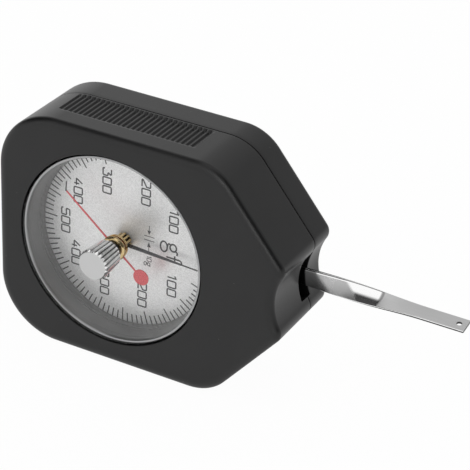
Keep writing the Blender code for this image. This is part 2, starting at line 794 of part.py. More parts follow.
def sector_outlines():
    """Toothed sector about the axle: hub disc, two arms and a toothed rim, with an open window."""
    pitch = 2 * math.pi / (pinion_teeth * gear_ratio)
    first = math.pi - pitch * (sector_tooth_count - 1) / 2
    rim = teeth(sector_tooth_count, first, pitch, sector_pitch_radius, sector_root_radius,
                sector_tip_radius)
    half = math.radians(sector_half_angle)
    end_x, end_z = sector_side()[1]
    hub = arc((0, 0), lever_hub_radius, -math.pi / 2 - half, math.pi / 2 + half, arc_steps)
    outer = [(end_x, end_z)] + rim + [(end_x, -end_z)] + hub
    inner_radius = sector_root_radius - sector_rim_width
    start_radius = lever_hub_radius + sector_arm_width
    window_half = half - sector_arm_width / inner_radius
    near_half = window_half * lever_hub_radius / start_radius
    window = arc((0, 0), inner_radius, math.pi - window_half, math.pi + window_half, arc_steps)
    window += arc((0, 0), start_radius, math.pi + near_half, math.pi - near_half, arc_steps)
    return [outer, window]


def rivet_places(x=0):
    """Where the two rivets of the lever stand, beside the axle."""
    return [(x, rivet_distance), (x, -rivet_distance)]


def rivet_holes():
    """Outlines of the holes for the axle and the two rivets."""
    holes = [circle(axle_radius + fine_gap)]
    holes += [circle(rivet_radius + fine_gap, at, tiny_round_steps) for at in rivet_places()]
    return holes


def make_sector_stack():
    """Everything riveted round the axle: sector gear, hub, clamp plate and the two rivets."""
    at = (axle_x, 0)
    sector = plate("sector_gear", sector_outlines() + rivet_holes(), sector_depth, sector_rear,
                   "brass", at)
    disc = circle(lever_hub_radius)
    hub = plate("lever_hub", [disc] + rivet_holes(), lever_hub_depth,
                lever_hub_depth + lever_hub_thickness, "brass", at)
    clamp = plate("lever_clamp", [circle(lever_eye_radius)] + rivet_holes(), clamp_depth,
                  clamp_depth + clamp_thickness, "screw_steel", at)
    front = sector_depth - fine_gap - rivet_head_height
    rear = clamp_depth + clamp_thickness + fine_gap
    stack = [sector, hub, clamp]
    for i, place_of_rivet in enumerate(rivet_places(axle_x)):
        parts = [(rivet_head_radius, front, front + rivet_head_height),
                 (rivet_radius, front + rivet_head_height, rear),
                 (rivet_head_radius, rear, rear + rivet_head_height)]
        stack.append(stepped_rod(f"lever_rivet_{i + 1}", parts, "screw_steel", place_of_rivet,
                                 tiny_round_steps))
    return stack


def make_axle():
    """Lever axle, which turns in the bushes of the two movement plates."""
    return rod("lever_axle", axle_radius, front_plate_depth, rear_plate_depth + plate_thickness,
               "lever_steel", (axle_x, 0))


def twist_at(x):
    """How far the lever's strip has turned at a distance from the axle: from upright to nearly level."""
    share = min(1, max(0, (x - twist_start) / twist_length))
    return math.radians(twist_angle) * share * share * (3 - 2 * share)


def lever_stations():
    """Distances along the lever with the half width there: the eye, the strip and the tip."""
    half = lever_width / 2
    strip_angle = math.asin(half / lever_eye_radius)
    eye = arc((0, 0), lever_eye_radius, math.pi - eye_end_angle, strip_angle, arc_steps)
    twist = [(twist_start + twist_length * i / twist_steps, half) for i in range(twist_steps + 1)]
    return eye + twist + [(lever_reach, half)]


def make_lever():
    """Steel strip with an eye round the axle, twisted nearly a quarter turn towards its tip."""
    stations = lever_stations()
    shape = bmesh.new()
    bmesh.ops.create_grid(shape, x_segments=len(stations) - 1, y_segments=2, size=1)
    rows = sorted({round(corner.co.x, place_digits) for corner in shape.verts})
    for corner in shape.verts:
        x, half = stations[rows.index(round(corner.co.x, place_digits))]
        across = corner.co.y * half
        turn = twist_at(x)
        corner.co = (x, across * math.cos(turn), -across * math.sin(turn) - lever_depth)
    mesh = bpy.data.meshes.new("lever")
    shape.to_mesh(mesh)
    shape.free()
    sheet = baked(mesh, "SOLIDIFY", thickness=lever_thickness, offset=0)
    lever = place("lever", sheet, "lever_steel", (axle_x, 0))
    near, far = lever_front - overrun, lever_rear + overrun
    cut(lever, rod("lever_eye_hole", axle_radius + fine_gap, near, far, None, (axle_x, 0)))
    for i, at in enumerate(rivet_places(axle_x)):
        cut(lever, rod(f"lever_rivet_hole_{i + 1}", rivet_radius + fine_gap, near, far, None, at,
                       tiny_round_steps))
    drill = rod("tip_hole", tip_hole_radius, -overrun, overrun, None, steps=tiny_round_steps)
    drill.location = (axle_x + lever_reach - tip_hole_inset, lever_depth - case_depth, 0)
    drill.rotation_euler = (0, 0, 0)
    cut(lever, drill)
    return lever


def spiral(name, height, strip, inner, pitch, turns, depth, x):
    """Flat spiral spring: a strip whose radius grows by one pitch a turn, up to its stud."""
    curve = bpy.data.curves.new(name, "CURVE")
    curve.dimensions = "2D"
    curve.fill_mode = "NONE"
    curve.extrude = height / 2
    steps = turns * spring_steps_per_turn
    spline = curve.splines.new("POLY")
    spline.points.add(steps)
    for i, point in enumerate(spline.points):
        turn = i / spring_steps_per_turn
        angle = math.radians(spring_stud_angle) + 2 * math.pi * (turn - turns)
        radius = inner + pitch * turn
        point.co = (radius * math.cos(angle), radius * math.sin(angle), 0, 1)
    mesh = baked(curve, "SOLIDIFY", thickness=strip, offset=0)
    mesh.transform(Matrix.Translation((0, 0, -depth)))
    place(name, mesh, "spring_steel", (x, 0))
    path = [Vector(point.co[:2]) for point in spline.points]
    far_apart = spring_steps_per_turn // 2
    least = min((a - b).length for i, a in enumerate(path) for b in path[i + far_apart:])
    print(f"{name}: least gap between its turns {least - strip:.5f} m")


def fixed_spring(name, x, shaft, height, strip, pitch, turns, depth, collet, length, stud):
    """A spiral spring with the collet that grips its shaft and the stud that holds its outer end."""
    near = depth - length / 2
    sleeve = tube(f"{name}_collet", collet, shaft + fine_gap, near, near + length, "brass", (x, 0))
    inner = collet + fine_gap + strip / 2
    spiral(name, height, strip, inner, pitch, turns, depth, x)
    reach = inner + pitch * turns + strip / 2 + fine_gap + stud
    lean = math.radians(spring_stud_angle)
    rod(f"{name}_stud", stud, near, rear_plate_depth - fine_gap, "brass",
        (x + reach * math.cos(lean), reach * math.sin(lean)), tiny_round_steps)
    return sleeve


def make_springs():
    """Main spring on the lever's axle and hairspring on the pointer's arbor."""
    main_collet = fixed_spring("main_spring", axle_x, axle_radius, main_spring_height,
                               main_spring_strip, main_spring_pitch, main_spring_turns,
                               main_spring_depth, main_collet_radius, main_collet_length,
                               main_stud_radius)
    hair_collet = fixed_spring("hairspring", 0, arbor_radius, hairspring_height, hairspring_strip,
                               hairspring_pitch, hairspring_turns, hairspring_depth,
                               hair_collet_radius, hair_collet_length, hair_stud_radius)
    return main_collet, hair_collet


def stop_pin_places():
    """Where the sector's two stop pins stand: just clear of its sides at full swing."""
    hub_end, rim_end = (Vector(end) for end in sector_side())
    along = (rim_end - hub_end).normalized()
    outward = Vector((along.y, -along.x))
    touch = hub_end.lerp(rim_end, stop_pin_place_share) + outward * (stop_pin_radius + seat_gap)
    x, z = Matrix.Rotation(-math.radians(lever_swing), 2) @ touch
    return [(axle_x + x, z), (axle_x + x, -z)]


def make_plates():
    """Two movement plates, three pillars, their screws, the bushes and the stop pins."""
    arbor_bush = arbor_radius + fine_gap + bush_wall
    axle_bush = axle_radius + fine_gap + bush_wall
    bush_holes = [circle(arbor_bush + fine_gap), circle(axle_bush + fine_gap, (axle_x, 0))]
    stub_holes = [circle(pillar_stub_radius + fine_gap, at, tiny_round_steps)
                  for at in pillar_places() + stop_pin_places()]
    screw_holes = [circle(plate_screw_radius + fine_gap, at, tiny_round_steps)
                   for at in front_screw_places()]
    outline = hull_of_two(front_plate_radius, axle_x, front_plate_nose_radius)
    plate("front_plate", [outline] + bush_holes + stub_holes + screw_holes, front_plate_depth,
          front_plate_rear, "brass")
    corners = [pillar_places()[0], pillar_places()[1], (axle_x, 0), pillar_places()[2]]
    outline = hull_of_circles(corners, rear_plate_margin)
    rear_screw_holes = [circle(plate_screw_radius + fine_gap, at, tiny_round_steps)
                        for at in pillar_places()]
    plate("rear_plate", [outline] + bush_holes + rear_screw_holes, rear_plate_depth,
          rear_plate_depth + plate_thickness, "brass")
    for side, near in (("front", front_plate_depth), ("rear", rear_plate_depth)):
        far = near + plate_thickness
        tube(f"arbor_{side}_bush", arbor_bush, arbor_radius + fine_gap, near - bush_proud,
             far + bush_proud, "brass", steps=tiny_round_steps)
        tube(f"axle_{side}_bush", axle_bush, axle_radius + fine_gap, near - bush_proud,
             far + bush_proud, "brass", (axle_x, 0))


def make_plate_fixings():
    """Pillars and stop pins on the front plate, and the screws of both plates."""
    top = rear_plate_depth - fine_gap
    foot = front_plate_rear + fine_gap
    for i, at in enumerate(pillar_places()):
        parts = [(pillar_stub_radius, front_plate_depth, foot), (pillar_radius, foot, top)]
        pillar = stepped_rod(f"pillar_{i + 1}", parts, "brass", at)
        cut(pillar, rod(f"pillar_hole_{i + 1}", plate_screw_radius + fine_gap,
                        top - plate_screw_grip - fine_gap, top + overrun, None, at,
                        tiny_round_steps))
        head = rear_plate_depth + plate_thickness + fine_gap
        parts = [(plate_screw_radius, top - plate_screw_grip, head),
                 (plate_screw_head_radius, head, head + plate_screw_head_height)]
        stepped_rod(f"rear_plate_screw_{i + 1}", parts, "screw_steel", at, tiny_round_steps)
    for i, at in enumerate(stop_pin_places()):
        rod(f"stop_pin_{i + 1}", stop_pin_radius, front_plate_depth, sector_rear, "screw_steel", at,
            tiny_round_steps)
    head = front_plate_rear + fine_gap
    for i, at in enumerate(front_screw_places()):
        parts = [(plate_screw_radius, ledge_depth + fine_gap, head),
                 (plate_screw_head_radius, head, head + plate_screw_head_height)]
        stepped_rod(f"front_plate_screw_{i + 1}", parts, "screw_steel", at, tiny_round_steps)


def carry(name, x, items):
    """Hang moving pieces on an empty that stands on their common axis."""
    pivot = bpy.data.objects.new(name, None)
    pivot.location = (x, 0, 0)
    bpy.data.collections["dial_tension_gauge"].objects.link(pivot)
    for item in items:
        item.parent = pivot
        item.location.x -= x


def main():
    """Make every piece, then group what moves together."""
    clear_scene()
    make_front_shell()
    make_rear_cover()
    make_case_screws()
    make_lens()
    make_dial()
    make_plates()
    make_plate_fixings()
    main_collet, hair_collet = make_springs()
    carry("knob_pivot", 0, make_knob() + make_drag_hub() + [make_drag_pointer()])
    live_pointer = make_live_pointer()
    live_pointer.rotation_euler = (math.pi / 2, -math.radians(live_pointer_angle), 0)
    carry("pointer_pivot", 0, [live_pointer, make_pointer_hub(), make_pinion_arbor(), hair_collet])
    carry("lever_pivot", axle_x, make_sector_stack() + [make_axle(), make_lever(), main_collet])


main()
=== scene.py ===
import math

import bmesh
import bpy
import numpy as np
from bpy.props import FloatProperty, FloatVectorProperty, IntProperty, PointerProperty
from mathutils import Matrix, Vector


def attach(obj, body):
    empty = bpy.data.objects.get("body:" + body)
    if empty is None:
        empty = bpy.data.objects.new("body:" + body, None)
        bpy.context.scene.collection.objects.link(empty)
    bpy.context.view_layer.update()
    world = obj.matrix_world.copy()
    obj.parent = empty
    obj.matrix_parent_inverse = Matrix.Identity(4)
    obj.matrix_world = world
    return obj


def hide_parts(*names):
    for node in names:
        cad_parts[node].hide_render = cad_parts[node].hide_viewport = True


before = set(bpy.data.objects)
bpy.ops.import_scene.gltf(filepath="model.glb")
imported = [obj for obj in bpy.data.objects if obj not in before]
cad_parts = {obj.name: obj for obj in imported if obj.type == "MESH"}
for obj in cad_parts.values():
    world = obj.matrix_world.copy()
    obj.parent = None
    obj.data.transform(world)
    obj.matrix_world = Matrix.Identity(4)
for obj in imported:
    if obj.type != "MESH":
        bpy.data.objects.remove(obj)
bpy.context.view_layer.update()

bl_info = {
    "name": "Dial tension gauge",
    "version": (1, 0, 0),
    "blender": (4, 5, 0),
    "location": "View3D > Sidebar > Gauge",
    "description": "Dresses the solids of a dial tension gauge with its visible pieces and finishes",
    "category": "Object",
}


# Sizes and colours that a user would change

def length(name, description, default):
    """A length property in metres."""
    return FloatProperty(name=name, description=description, default=default, unit="LENGTH", precision=5)


def share(name, description, default):
    """A property between nothing and all."""
    return FloatProperty(name=name, description=description, default=default, min=0, max=1,
                         subtype="FACTOR")


def tint(name, description, default):
    """A colour property."""
    return FloatVectorProperty(name=name, description=description, default=default, subtype="COLOR",
                               size=3, min=0, max=1)


class GaugeCaseSizes(bpy.types.PropertyGroup):
    """Sizes of the moulded case."""
    window_radius: length("Window radius", "Inside radius of the window well", 0.0255)
    half_height: length("Half height", "From the dial's axis to the top", 0.0310)
    left: length("Left reach", "From the dial's axis to the left side", 0.0317)
    shoulder_x: length("Shoulder", "Where the sloping side would meet the top", 0.0283)
    nose_x: length("Nose", "Where the sloping side would meet the nose", 0.0465)
    nose_half_height: length("Nose half height", "Half the height of the nose", 0.0093)
    nose_hollow: length("Nose hollow", "How deep the hollow nose curves in", 0.0023)
    left_corner_radius: length("Left corner radius", "Radius of the two left corners", 0.0161)
    shoulder_radius: length("Shoulder radius", "Radius of the two shoulders", 0.0124)
    nose_radius: length("Nose corner radius", "Radius of the nose's corners", 0.0030)
    nose_arc_radius: length("Nose arc radius", "Radius of the hollow in the nose", 0.0140)
    depth: length("Depth", "Whole depth of the case", 0.0254)
    split_depth: length("Split depth", "Where the front shell ends", 0.0164)
    wall: length("Wall", "Thickness of the moulded wall", 0.0018)
    front_edge: length("Front edge width", "How far the front edge's rounding reaches inwards", 0.0023)
    front_edge_depth: length("Front edge depth", "How far the front edge's rounding reaches back", 0.0013)
    back_edge: length("Back edge radius", "Rounding of the back edge", 0.0017)
    grip_inset: length("Grip inset", "From the window's radius to the grip's end", 0.0068)
    panel_depth: length("Panel depth", "How far the grip's ribs lie below the top", 0.00025)
    groove_count: IntProperty(name="Grip grooves", description="Grooves in each grip", default=28, min=4)
    groove_depth: length("Groove depth", "Depth of the grip's grooves", 0.0007)
    well_radius: length("Well radius", "Radius of the window's well in the front shell", 0.02525)
    left_gap: length("Left gap", "Gap between the halves at the left", 0.00002)
    right_gap: length("Right gap", "Gap between the halves at the right", 0.00024)


class GaugeDialSizes(bpy.types.PropertyGroup):
    """Sizes of the dial and what is printed on it."""
    face_depth: length("Dial depth", "From the front face to the dial", 0.0076)
    zero_angle: FloatProperty(name="Zero direction", description="Direction of the zero, against the clock",
                              default=math.radians(-1.2), subtype="ANGLE")
    division_angle: FloatProperty(name="Division", description="Angle of one division",
                                  default=math.radians(3.6), subtype="ANGLE")
    tick_end: length("Tick end", "Radius where the ticks end", 0.02318)
    long_tick: length("Long tick", "Length of each fifth tick", 0.0035)
    short_tick: length("Short tick", "Length of the other ticks", 0.0023)
    tick_width: length("Tick width", "Width of a tick", 0.00030)
    figure_height: length("Figure height", "Height of the figures", 0.00236)
    figure_width: length("Figure width", "Width of a figure", 0.00184)
    figure_pitch: length("Figure pitch", "Distance from one figure to the next", 0.0024)
    figure_stroke: length("Figure stroke", "Width of a figure's strokes", 0.00036)
    print_height: length("Print height", "How far the print stands proud", 0.00003)


class GaugeCentreSizes(bpy.types.PropertyGroup):
    """Sizes of the reset knob and the pointers."""
    knob_radius: length("Knob radius", "Radius over the ribs", 0.0040)
    knob_face_radius: length("Knob face radius", "Radius of the knob's end face", 0.00360)
    knob_rear_radius: length("Knob rear radius", "Radius over the ribs at the window", 0.00360)
    knob_near: length("Knob front", "From the case's front face to the knob's end face", 0.0077)
    knob_far: length("Knob rear", "From the case's front face to the knob's rear", 0.0004)
    knob_chamfer: length("Knob chamfer", "Length of the slope between end face and ribs", 0.0008)
    knob_ribs: IntProperty(name="Knob ribs", description="Ribs round the knob", default=22, min=6)
    knob_groove: length("Knob groove", "Depth of the grooves between the ribs", 0.0004)
    drag_angle: FloatProperty(name="Drag pointer angle", description="Where the red pointer stands",
                              default=math.radians(140.6), subtype="ANGLE")
    live_angle: FloatProperty(name="Live pointer angle", description="Where the black pointer stands",
                              default=math.radians(-2.9), subtype="ANGLE")


class GaugeLeverSizes(bpy.types.PropertyGroup):
    """Sizes of the twisted lever."""
    width: length("Width", "Width of the steel strip", 0.0045)
    thickness: length("Thickness", "Thickness of the steel strip at the axle", 0.0005)
    outer_thickness: length("Outer thickness", "Thickness of the steel strip outside the case", 0.00058)
    droop: length("Droop", "How far the strip's outer half hangs below the axle's height", 0.00008)
    middle_depth: length("Depth", "From the case's front face to the strip's middle", 0.0156)
    eye_radius: length("Eye radius", "Radius of the strip's eye round the axle", 0.0037)
    tip_hole: length("Tip hole radius", "Radius of the hole in the tip", 0.00068)
    tip_hole_x: length("Tip hole place", "From the dial's axis to the hole in the tip", 0.0843)
    axle_x: length("Axle place", "From the dial's axis to the lever's axle", 0.0310)
    reach: length("Reach", "From the axle to the tip", 0.0552)
    twist_start: length("Twist start", "From the axle to the start of the twist", 0.0090)
    twist_length: length("Twist length", "Length over which the strip twists", 0.0360)
    twist_angle: FloatProperty(name="Twist", description="How far the strip's tip is turned from upright",
                               default=math.radians(82.0), subtype="ANGLE")
    edge_radius: length("Edge radius", "Rounding of the strip's long edges", 0.00014)


class GaugeColours(bpy.types.PropertyGroup):
    """Colours of the finishes, as they are under plain light; the polish colour also holds a painted
    highlight and the sheared colour painted shade.
    """
    plastic: tint("Case plastic", "Moulded black plastic", (0.0045, 0.0045, 0.0047))
    silver: tint("Dial silver", "Satin dial", (0.925, 0.925, 0.92))
    ink: tint("Dial ink", "Printed marks", (0.012, 0.012, 0.013))
    aluminium: tint("Aluminium", "Knob", (0.86, 0.86, 0.86))
    brass: tint("Brass", "Hubs and bushes", (0.80, 0.61, 0.32))
    red: tint("Pointer red", "Lacquer of the drag pointer", (0.80, 0.110, 0.125))
    black: tint("Pointer black", "Lacquer of the live pointer", (0.020, 0.021, 0.023))
    steel: tint("Lever steel", "Brushed steel strip", (0.585, 0.585, 0.585))
    # Much paler than the brushed steel: a painted highlight on the twisted patch and the rounded edges,
    # which are also glossier.
    polish: tint("Polished steel", "Where the strip was twisted", (0.96, 0.96, 0.96))
    # Nearly black: painted shade along the strip's sheared edges, its tip's end and the rear part of its
    # upper edge.
    sheared: tint("Sheared steel", "Torn edge of the strip", (0.07, 0.07, 0.07))
    spring: tint("Spring steel", "Blued spring strip", (0.20, 0.22, 0.28))
    screw: tint("Screw steel", "Plated screws", (0.42, 0.42, 0.43))
    window: tint("Window edge", "Cut edge of the clear window", (0.208, 0.207, 0.206))


class GaugeStage(bpy.types.PropertyGroup):
    """Light of the studio and the camera."""
    floor_shade: share("Floor white", "Share of plain white in what the camera sees of the floor", 0.97)
    floor_mirrored: share("Mirrored white", "Share of plain white in what mirrors see of the floor", 0.70)
    key_power: FloatProperty(name="Key light", description="Power of the soft light overhead",
                             default=0.4, min=0)
    fill_power: FloatProperty(name="Fill light", description="Power of the soft light in front",
                              default=0.3, min=0)
    sky: FloatProperty(name="Room light", description="Strength of the room's even light", default=0.80,
                       min=0)
    lens: FloatProperty(name="Lens", description="Focal length of the camera in millimetres",
                        default=146.2, min=1)


# Meshes from grids of points

def mesh_from_grid(points, round_rows=False, round_columns=False):
    """Vertices and faces of one grid of points, rows by columns, whose rows and columns may close."""
    rows, columns = points.shape[:2]
    row = np.arange(rows if round_rows else rows - 1)
    column = np.arange(columns if round_columns else columns - 1)
    first, second = np.meshgrid(row, column, indexing="ij")
    below, beside = (first + 1) % rows, (second + 1) % columns
    faces = np.stack([first * columns + second, first * columns + beside, below * columns + beside,
                      below * columns + second], axis=-1)
    return points.reshape(-1, 3), faces.reshape(-1, 4)


def object_from_shells(name, shells, sharp=35.0, looks=None):
    """One object from closed shells, each given as vertices and four-cornered faces.

    Vertices that fall together, as at a pole, are merged, and faces are turned outwards. Looks, where
    given, are the numbers of the faces' material slots."""
    shift, vertices, faces = 0, [], []
    for shell_vertices, shell_faces in shells:
        vertices.append(shell_vertices)
        faces.append(shell_faces + shift)
        shift += len(shell_vertices)
    vertices, faces = np.concatenate(vertices), np.concatenate(faces)
    mesh = bpy.data.meshes.new(name)
    mesh.vertices.add(len(vertices))
    mesh.vertices.foreach_set("co", vertices.astype(np.float32).ravel())
    mesh.loops.add(faces.size)
    mesh.loops.foreach_set("vertex_index", faces.astype(np.int32).ravel())
    mesh.polygons.add(len(faces))
    mesh.polygons.foreach_set("loop_start", np.arange(0, faces.size, 4, dtype=np.int32))
    if looks is not None:
        mesh.polygons.foreach_set("material_index", looks.astype(np.int32))
    mesh.update(calc_edges=True)
    item = bpy.data.objects.new(name, mesh)
    bpy.context.scene.collection.objects.link(item)
    tidy(item, sharp)
    return item


def tidy(item, sharp=35.0, tiny=1e-7):
    """Merges vertices that fall together, turns the faces outwards and shades all but sharp edges."""
    shape = bmesh.new()
    shape.from_mesh(item.data)
    bmesh.ops.remove_doubles(shape, verts=shape.verts, dist=tiny)
    bmesh.ops.dissolve_degenerate(shape, edges=shape.edges, dist=tiny)
    bmesh.ops.recalc_face_normals(shape, faces=shape.faces)
    shape.to_mesh(item.data)
    shape.free()
    item.data.shade_smooth()
    item.data.set_sharp_from_angle(angle=math.radians(sharp))


def cut_away(item, tools, sharp=35.0, posts=()):
    """Joins closed posts to an object, cuts closed tools out of it, and removes posts and tools."""
    parts = [("UNION", post) for post in posts] + [("DIFFERENCE", tool) for tool in tools]
    for operation, part in parts:
        change = item.modifiers.new("change", "BOOLEAN")
        change.operation, change.solver, change.object = operation, "EXACT", part
    view = bpy.context.evaluated_depsgraph_get()
    mesh = bpy.data.meshes.new_from_object(item.evaluated_get(view))
    item.modifiers.clear()
    old, item.data = item.data, mesh
    bpy.data.meshes.remove(old)
    mesh.name = item.name
    for operation, part in parts:
        data = part.data
        bpy.data.objects.remove(part, do_unlink=True)
        bpy.data.meshes.remove(data)
    item.data.shade_smooth()
    item.data.set_sharp_from_angle(angle=math.radians(sharp))


def row_frame(x, depth, z):
    """Points in the model's frame from x, depth behind the front face and z, all in metres."""
    case = bpy.context.scene.gauge_case
    x, depth, z = np.broadcast_arrays(x, depth, z)
    return np.stack([x, depth - case.depth, z], axis=-1)


def turned_shell(profile, at=(0.0, 0.0), steps=96, closed=False):
    """A turned shell: each profile point of radius and depth goes round in steps.

    Place = (at x + radius times cosine, depth, at z + radius times sine)."""
    profile = np.asarray(profile, float)
    angle = 2 * np.pi * np.arange(steps) / steps
    radius, depth = profile[:, 0, None], profile[:, 1, None]
    points = row_frame(at[0] + radius * np.cos(angle), depth, at[1] + radius * np.sin(angle))
    return mesh_from_grid(points, round_rows=closed, round_columns=True)


def rounded(profile, radius, steps=4, closed=False):
    """A profile with each corner replaced by an arc of the given radius, or less where it has no room.

    At each corner the arc's tangent length is radius times the tangent of half the turn, and its
    points are set by turning the arriving direction evenly into the leaving one."""
    profile = [np.asarray(point, float) for point in profile]
    count = len(profile)
    made = []
    for i, point in enumerate(profile):
        if not closed and i in (0, count - 1):
            made.append(point)
            continue
        before, after = profile[i - 1] - point, profile[(i + 1) % count] - point
        far_before, far_after = np.hypot(*before), np.hypot(*after)
        before, after = before / far_before, after / far_after
        turn = np.pi - np.arccos(np.clip(before @ after, -1, 1))
        if turn < 0.05:
            made.append(point)
            continue
        reach = min(radius * np.tan(turn / 2), 0.45 * far_before, 0.45 * far_after)
        bend = reach / np.tan(turn / 2)
        middle = point + (before + after) / np.hypot(*(before + after)) * bend / np.cos(turn / 2)
        start = point + before * reach - middle
        side = np.sign(before[0] * after[1] - before[1] * after[0])
        swing = -side * turn * np.linspace(0, 1, steps + 1)
        cosine, sine = np.cos(swing), np.sin(swing)
        made += list(np.stack([start[0] * cosine - start[1] * sine,
                               start[0] * sine + start[1] * cosine], axis=1) + middle)
    return np.array(made)


def smooth_step(low, high, value):
    """Nothing below low, one above high, and 3 t squared minus 2 t cubed between."""
    t = np.clip((value - low) / (high - low), 0, 1)
    return t * t * (3 - 2 * t)


# The moulded case

def grip_stations(case):
    """x places along the flat top: ten in each groove's pitch, and a few beside the grip."""
    half, pitch = grip_reach(case)
    within = np.array([0, 0.14, 0.25, 0.32, 0.3875, 0.5, 0.6125, 0.68, 0.75, 0.86]) * pitch
    inside = (-half + pitch * np.arange(case.groove_count)[:, None] + within).ravel()
    beside = np.array([-0.0006, -0.0003, -0.00015])
    return np.concatenate([-half + beside, inside, [half], half - beside[::-1]])


def grip_reach(case):
    """Half the grip's length and the pitch of its grooves."""
    half = case.window_radius - case.grip_inset
    return half, 2 * half / case.groove_count


def case_outline(case):
    """The case's outline: places and outward normals, from the nose round over the top and back.

    An arc's place is its middle plus radius times (cosine, sine), and the normal is that direction,
    or its opposite in the hollow nose. An outline moved in is place minus inset times normal."""
    slope = np.array([case.nose_x - case.shoulder_x, case.nose_half_height - case.half_height])
    slope /= np.hypot(*slope)
    outward = np.array([-slope[1], slope[0]])
    slope_angle = math.atan2(outward[1], outward[0])
    half_turn = (math.pi / 2 - slope_angle) / 2
    shoulder = np.array([case.shoulder_x - case.shoulder_radius * math.tan(half_turn),
                         case.half_height - case.shoulder_radius])
    left = np.array([case.left_corner_radius - case.left, case.half_height - case.left_corner_radius])
    hollow = np.array([case.nose_x - case.nose_hollow + case.nose_arc_radius, 0])
    reach = case.nose_arc_radius + case.nose_radius
    start = np.array([case.nose_x, case.nose_half_height]) - outward * case.nose_radius - hollow
    along = start @ slope
    corner = start - slope * (along + math.sqrt(along ** 2 - start @ start + reach ** 2)) + hollow
    lean = math.atan2(corner[1], corner[0] - hollow[0])

    def bend(middle, radius, first, last, steps, sign=1):
        angle = first + (last - first) * np.arange(steps) / steps
        way = np.stack([np.cos(angle), np.sin(angle)], axis=1)
        return middle + radius * way, sign * way

    def straight(begin, end, normal, steps):
        part = np.arange(steps)[:, None] / steps
        return begin + (end - begin) * part, np.tile(normal, (steps, 1))

    slot_half = 0.00582
    slot_angle = math.asin(slot_half / case.nose_arc_radius)
    edge_angle = math.asin((slot_half + 0.0001) / case.nose_arc_radius)
    top_right, top_left = shoulder[0], left[0]
    stations = grip_stations(case)
    inner = stations[(stations < top_right) & (stations > top_left)][::-1]
    top_x = np.concatenate([np.linspace(top_right, inner[0], 5)[:-1], inner])
    top = np.stack([top_x, np.full(len(top_x), case.half_height)], axis=1)
    up = np.tile([0.0, 1.0], (len(top_x), 1))
    nose_end = corner + case.nose_radius * outward
    shoulder_end = shoulder + case.shoulder_radius * outward
    on_corner = stations[stations < top_left][::-1]
    corner_angle = math.pi / 2 + np.arcsin((top_left - on_corner) / case.left_corner_radius)
    corner_way = np.stack([np.cos(corner_angle), np.sin(corner_angle)], axis=1)
    parts = [
        bend(hollow, case.nose_arc_radius, math.pi, math.pi - slot_angle, 10, -1),
        bend(hollow, case.nose_arc_radius, math.pi - slot_angle, math.pi - edge_angle, 1, -1),
        bend(hollow, case.nose_arc_radius, math.pi - edge_angle, lean, 7, -1),
        bend(corner, case.nose_radius, lean - math.pi, slope_angle, 14),
        straight(nose_end, shoulder_end, outward, 14),
        bend(shoulder, case.shoulder_radius, slope_angle, math.pi / 2, 18),
        (top, up),
        (left + case.left_corner_radius * corner_way, corner_way),
        bend(left, case.left_corner_radius, corner_angle[-1] + 0.02, math.pi, 34),
        straight(np.array([-case.left, left[1]]), np.array([-case.left, 0.0]), np.array([-1.0, 0.0]), 10),
    ]
    places = np.concatenate([part[0] for part in parts])
    normals = np.concatenate([part[1] for part in parts])
    places = np.concatenate([places, [[-case.left, 0.0]], (places[1:] * [1, -1])[::-1]])
    normals = np.concatenate([normals, [[-1.0, 0.0]], (normals[1:] * [1, -1])[::-1]])
    return places, normals


def grip_drop(case, x, depth):
    """How far the grip lies below the top: a shallow panel, and grooves across it.

    Across each pitch the groove's floor runs over 0.2 of it and its walls ease out to 0.75, and
    both panel and grooves ease in with depth and out before the split."""
    half, pitch = grip_reach(case)
    panel_start, panel_end, groove_end, rear_start, rear_end = 0.0060, 0.0064, 0.0068, 0.0151, 0.0158
    beside = 1 - smooth_step(half, half + 0.0003, np.abs(x))
    behind = 1 - smooth_step(rear_start, rear_end, depth)
    panel = case.panel_depth * beside * smooth_step(panel_start, panel_end, depth) * behind
    middle = np.abs(((x + half) / pitch) % 1 - 0.5) * 2
    lengthwise = smooth_step(panel_end, groove_end, depth) * behind
    groove = (1 - smooth_step(0.2, 0.75, middle)) * (np.abs(x) < half) * lengthwise
    return panel + (case.groove_depth - case.panel_depth) * groove


def slot_share(case, places):
    """One in the columns of the lever's slot, and nothing elsewhere."""
    return ((places[:, 0] > case.shoulder_x) & (np.abs(places[:, 1]) < 0.00585)).astype(float)


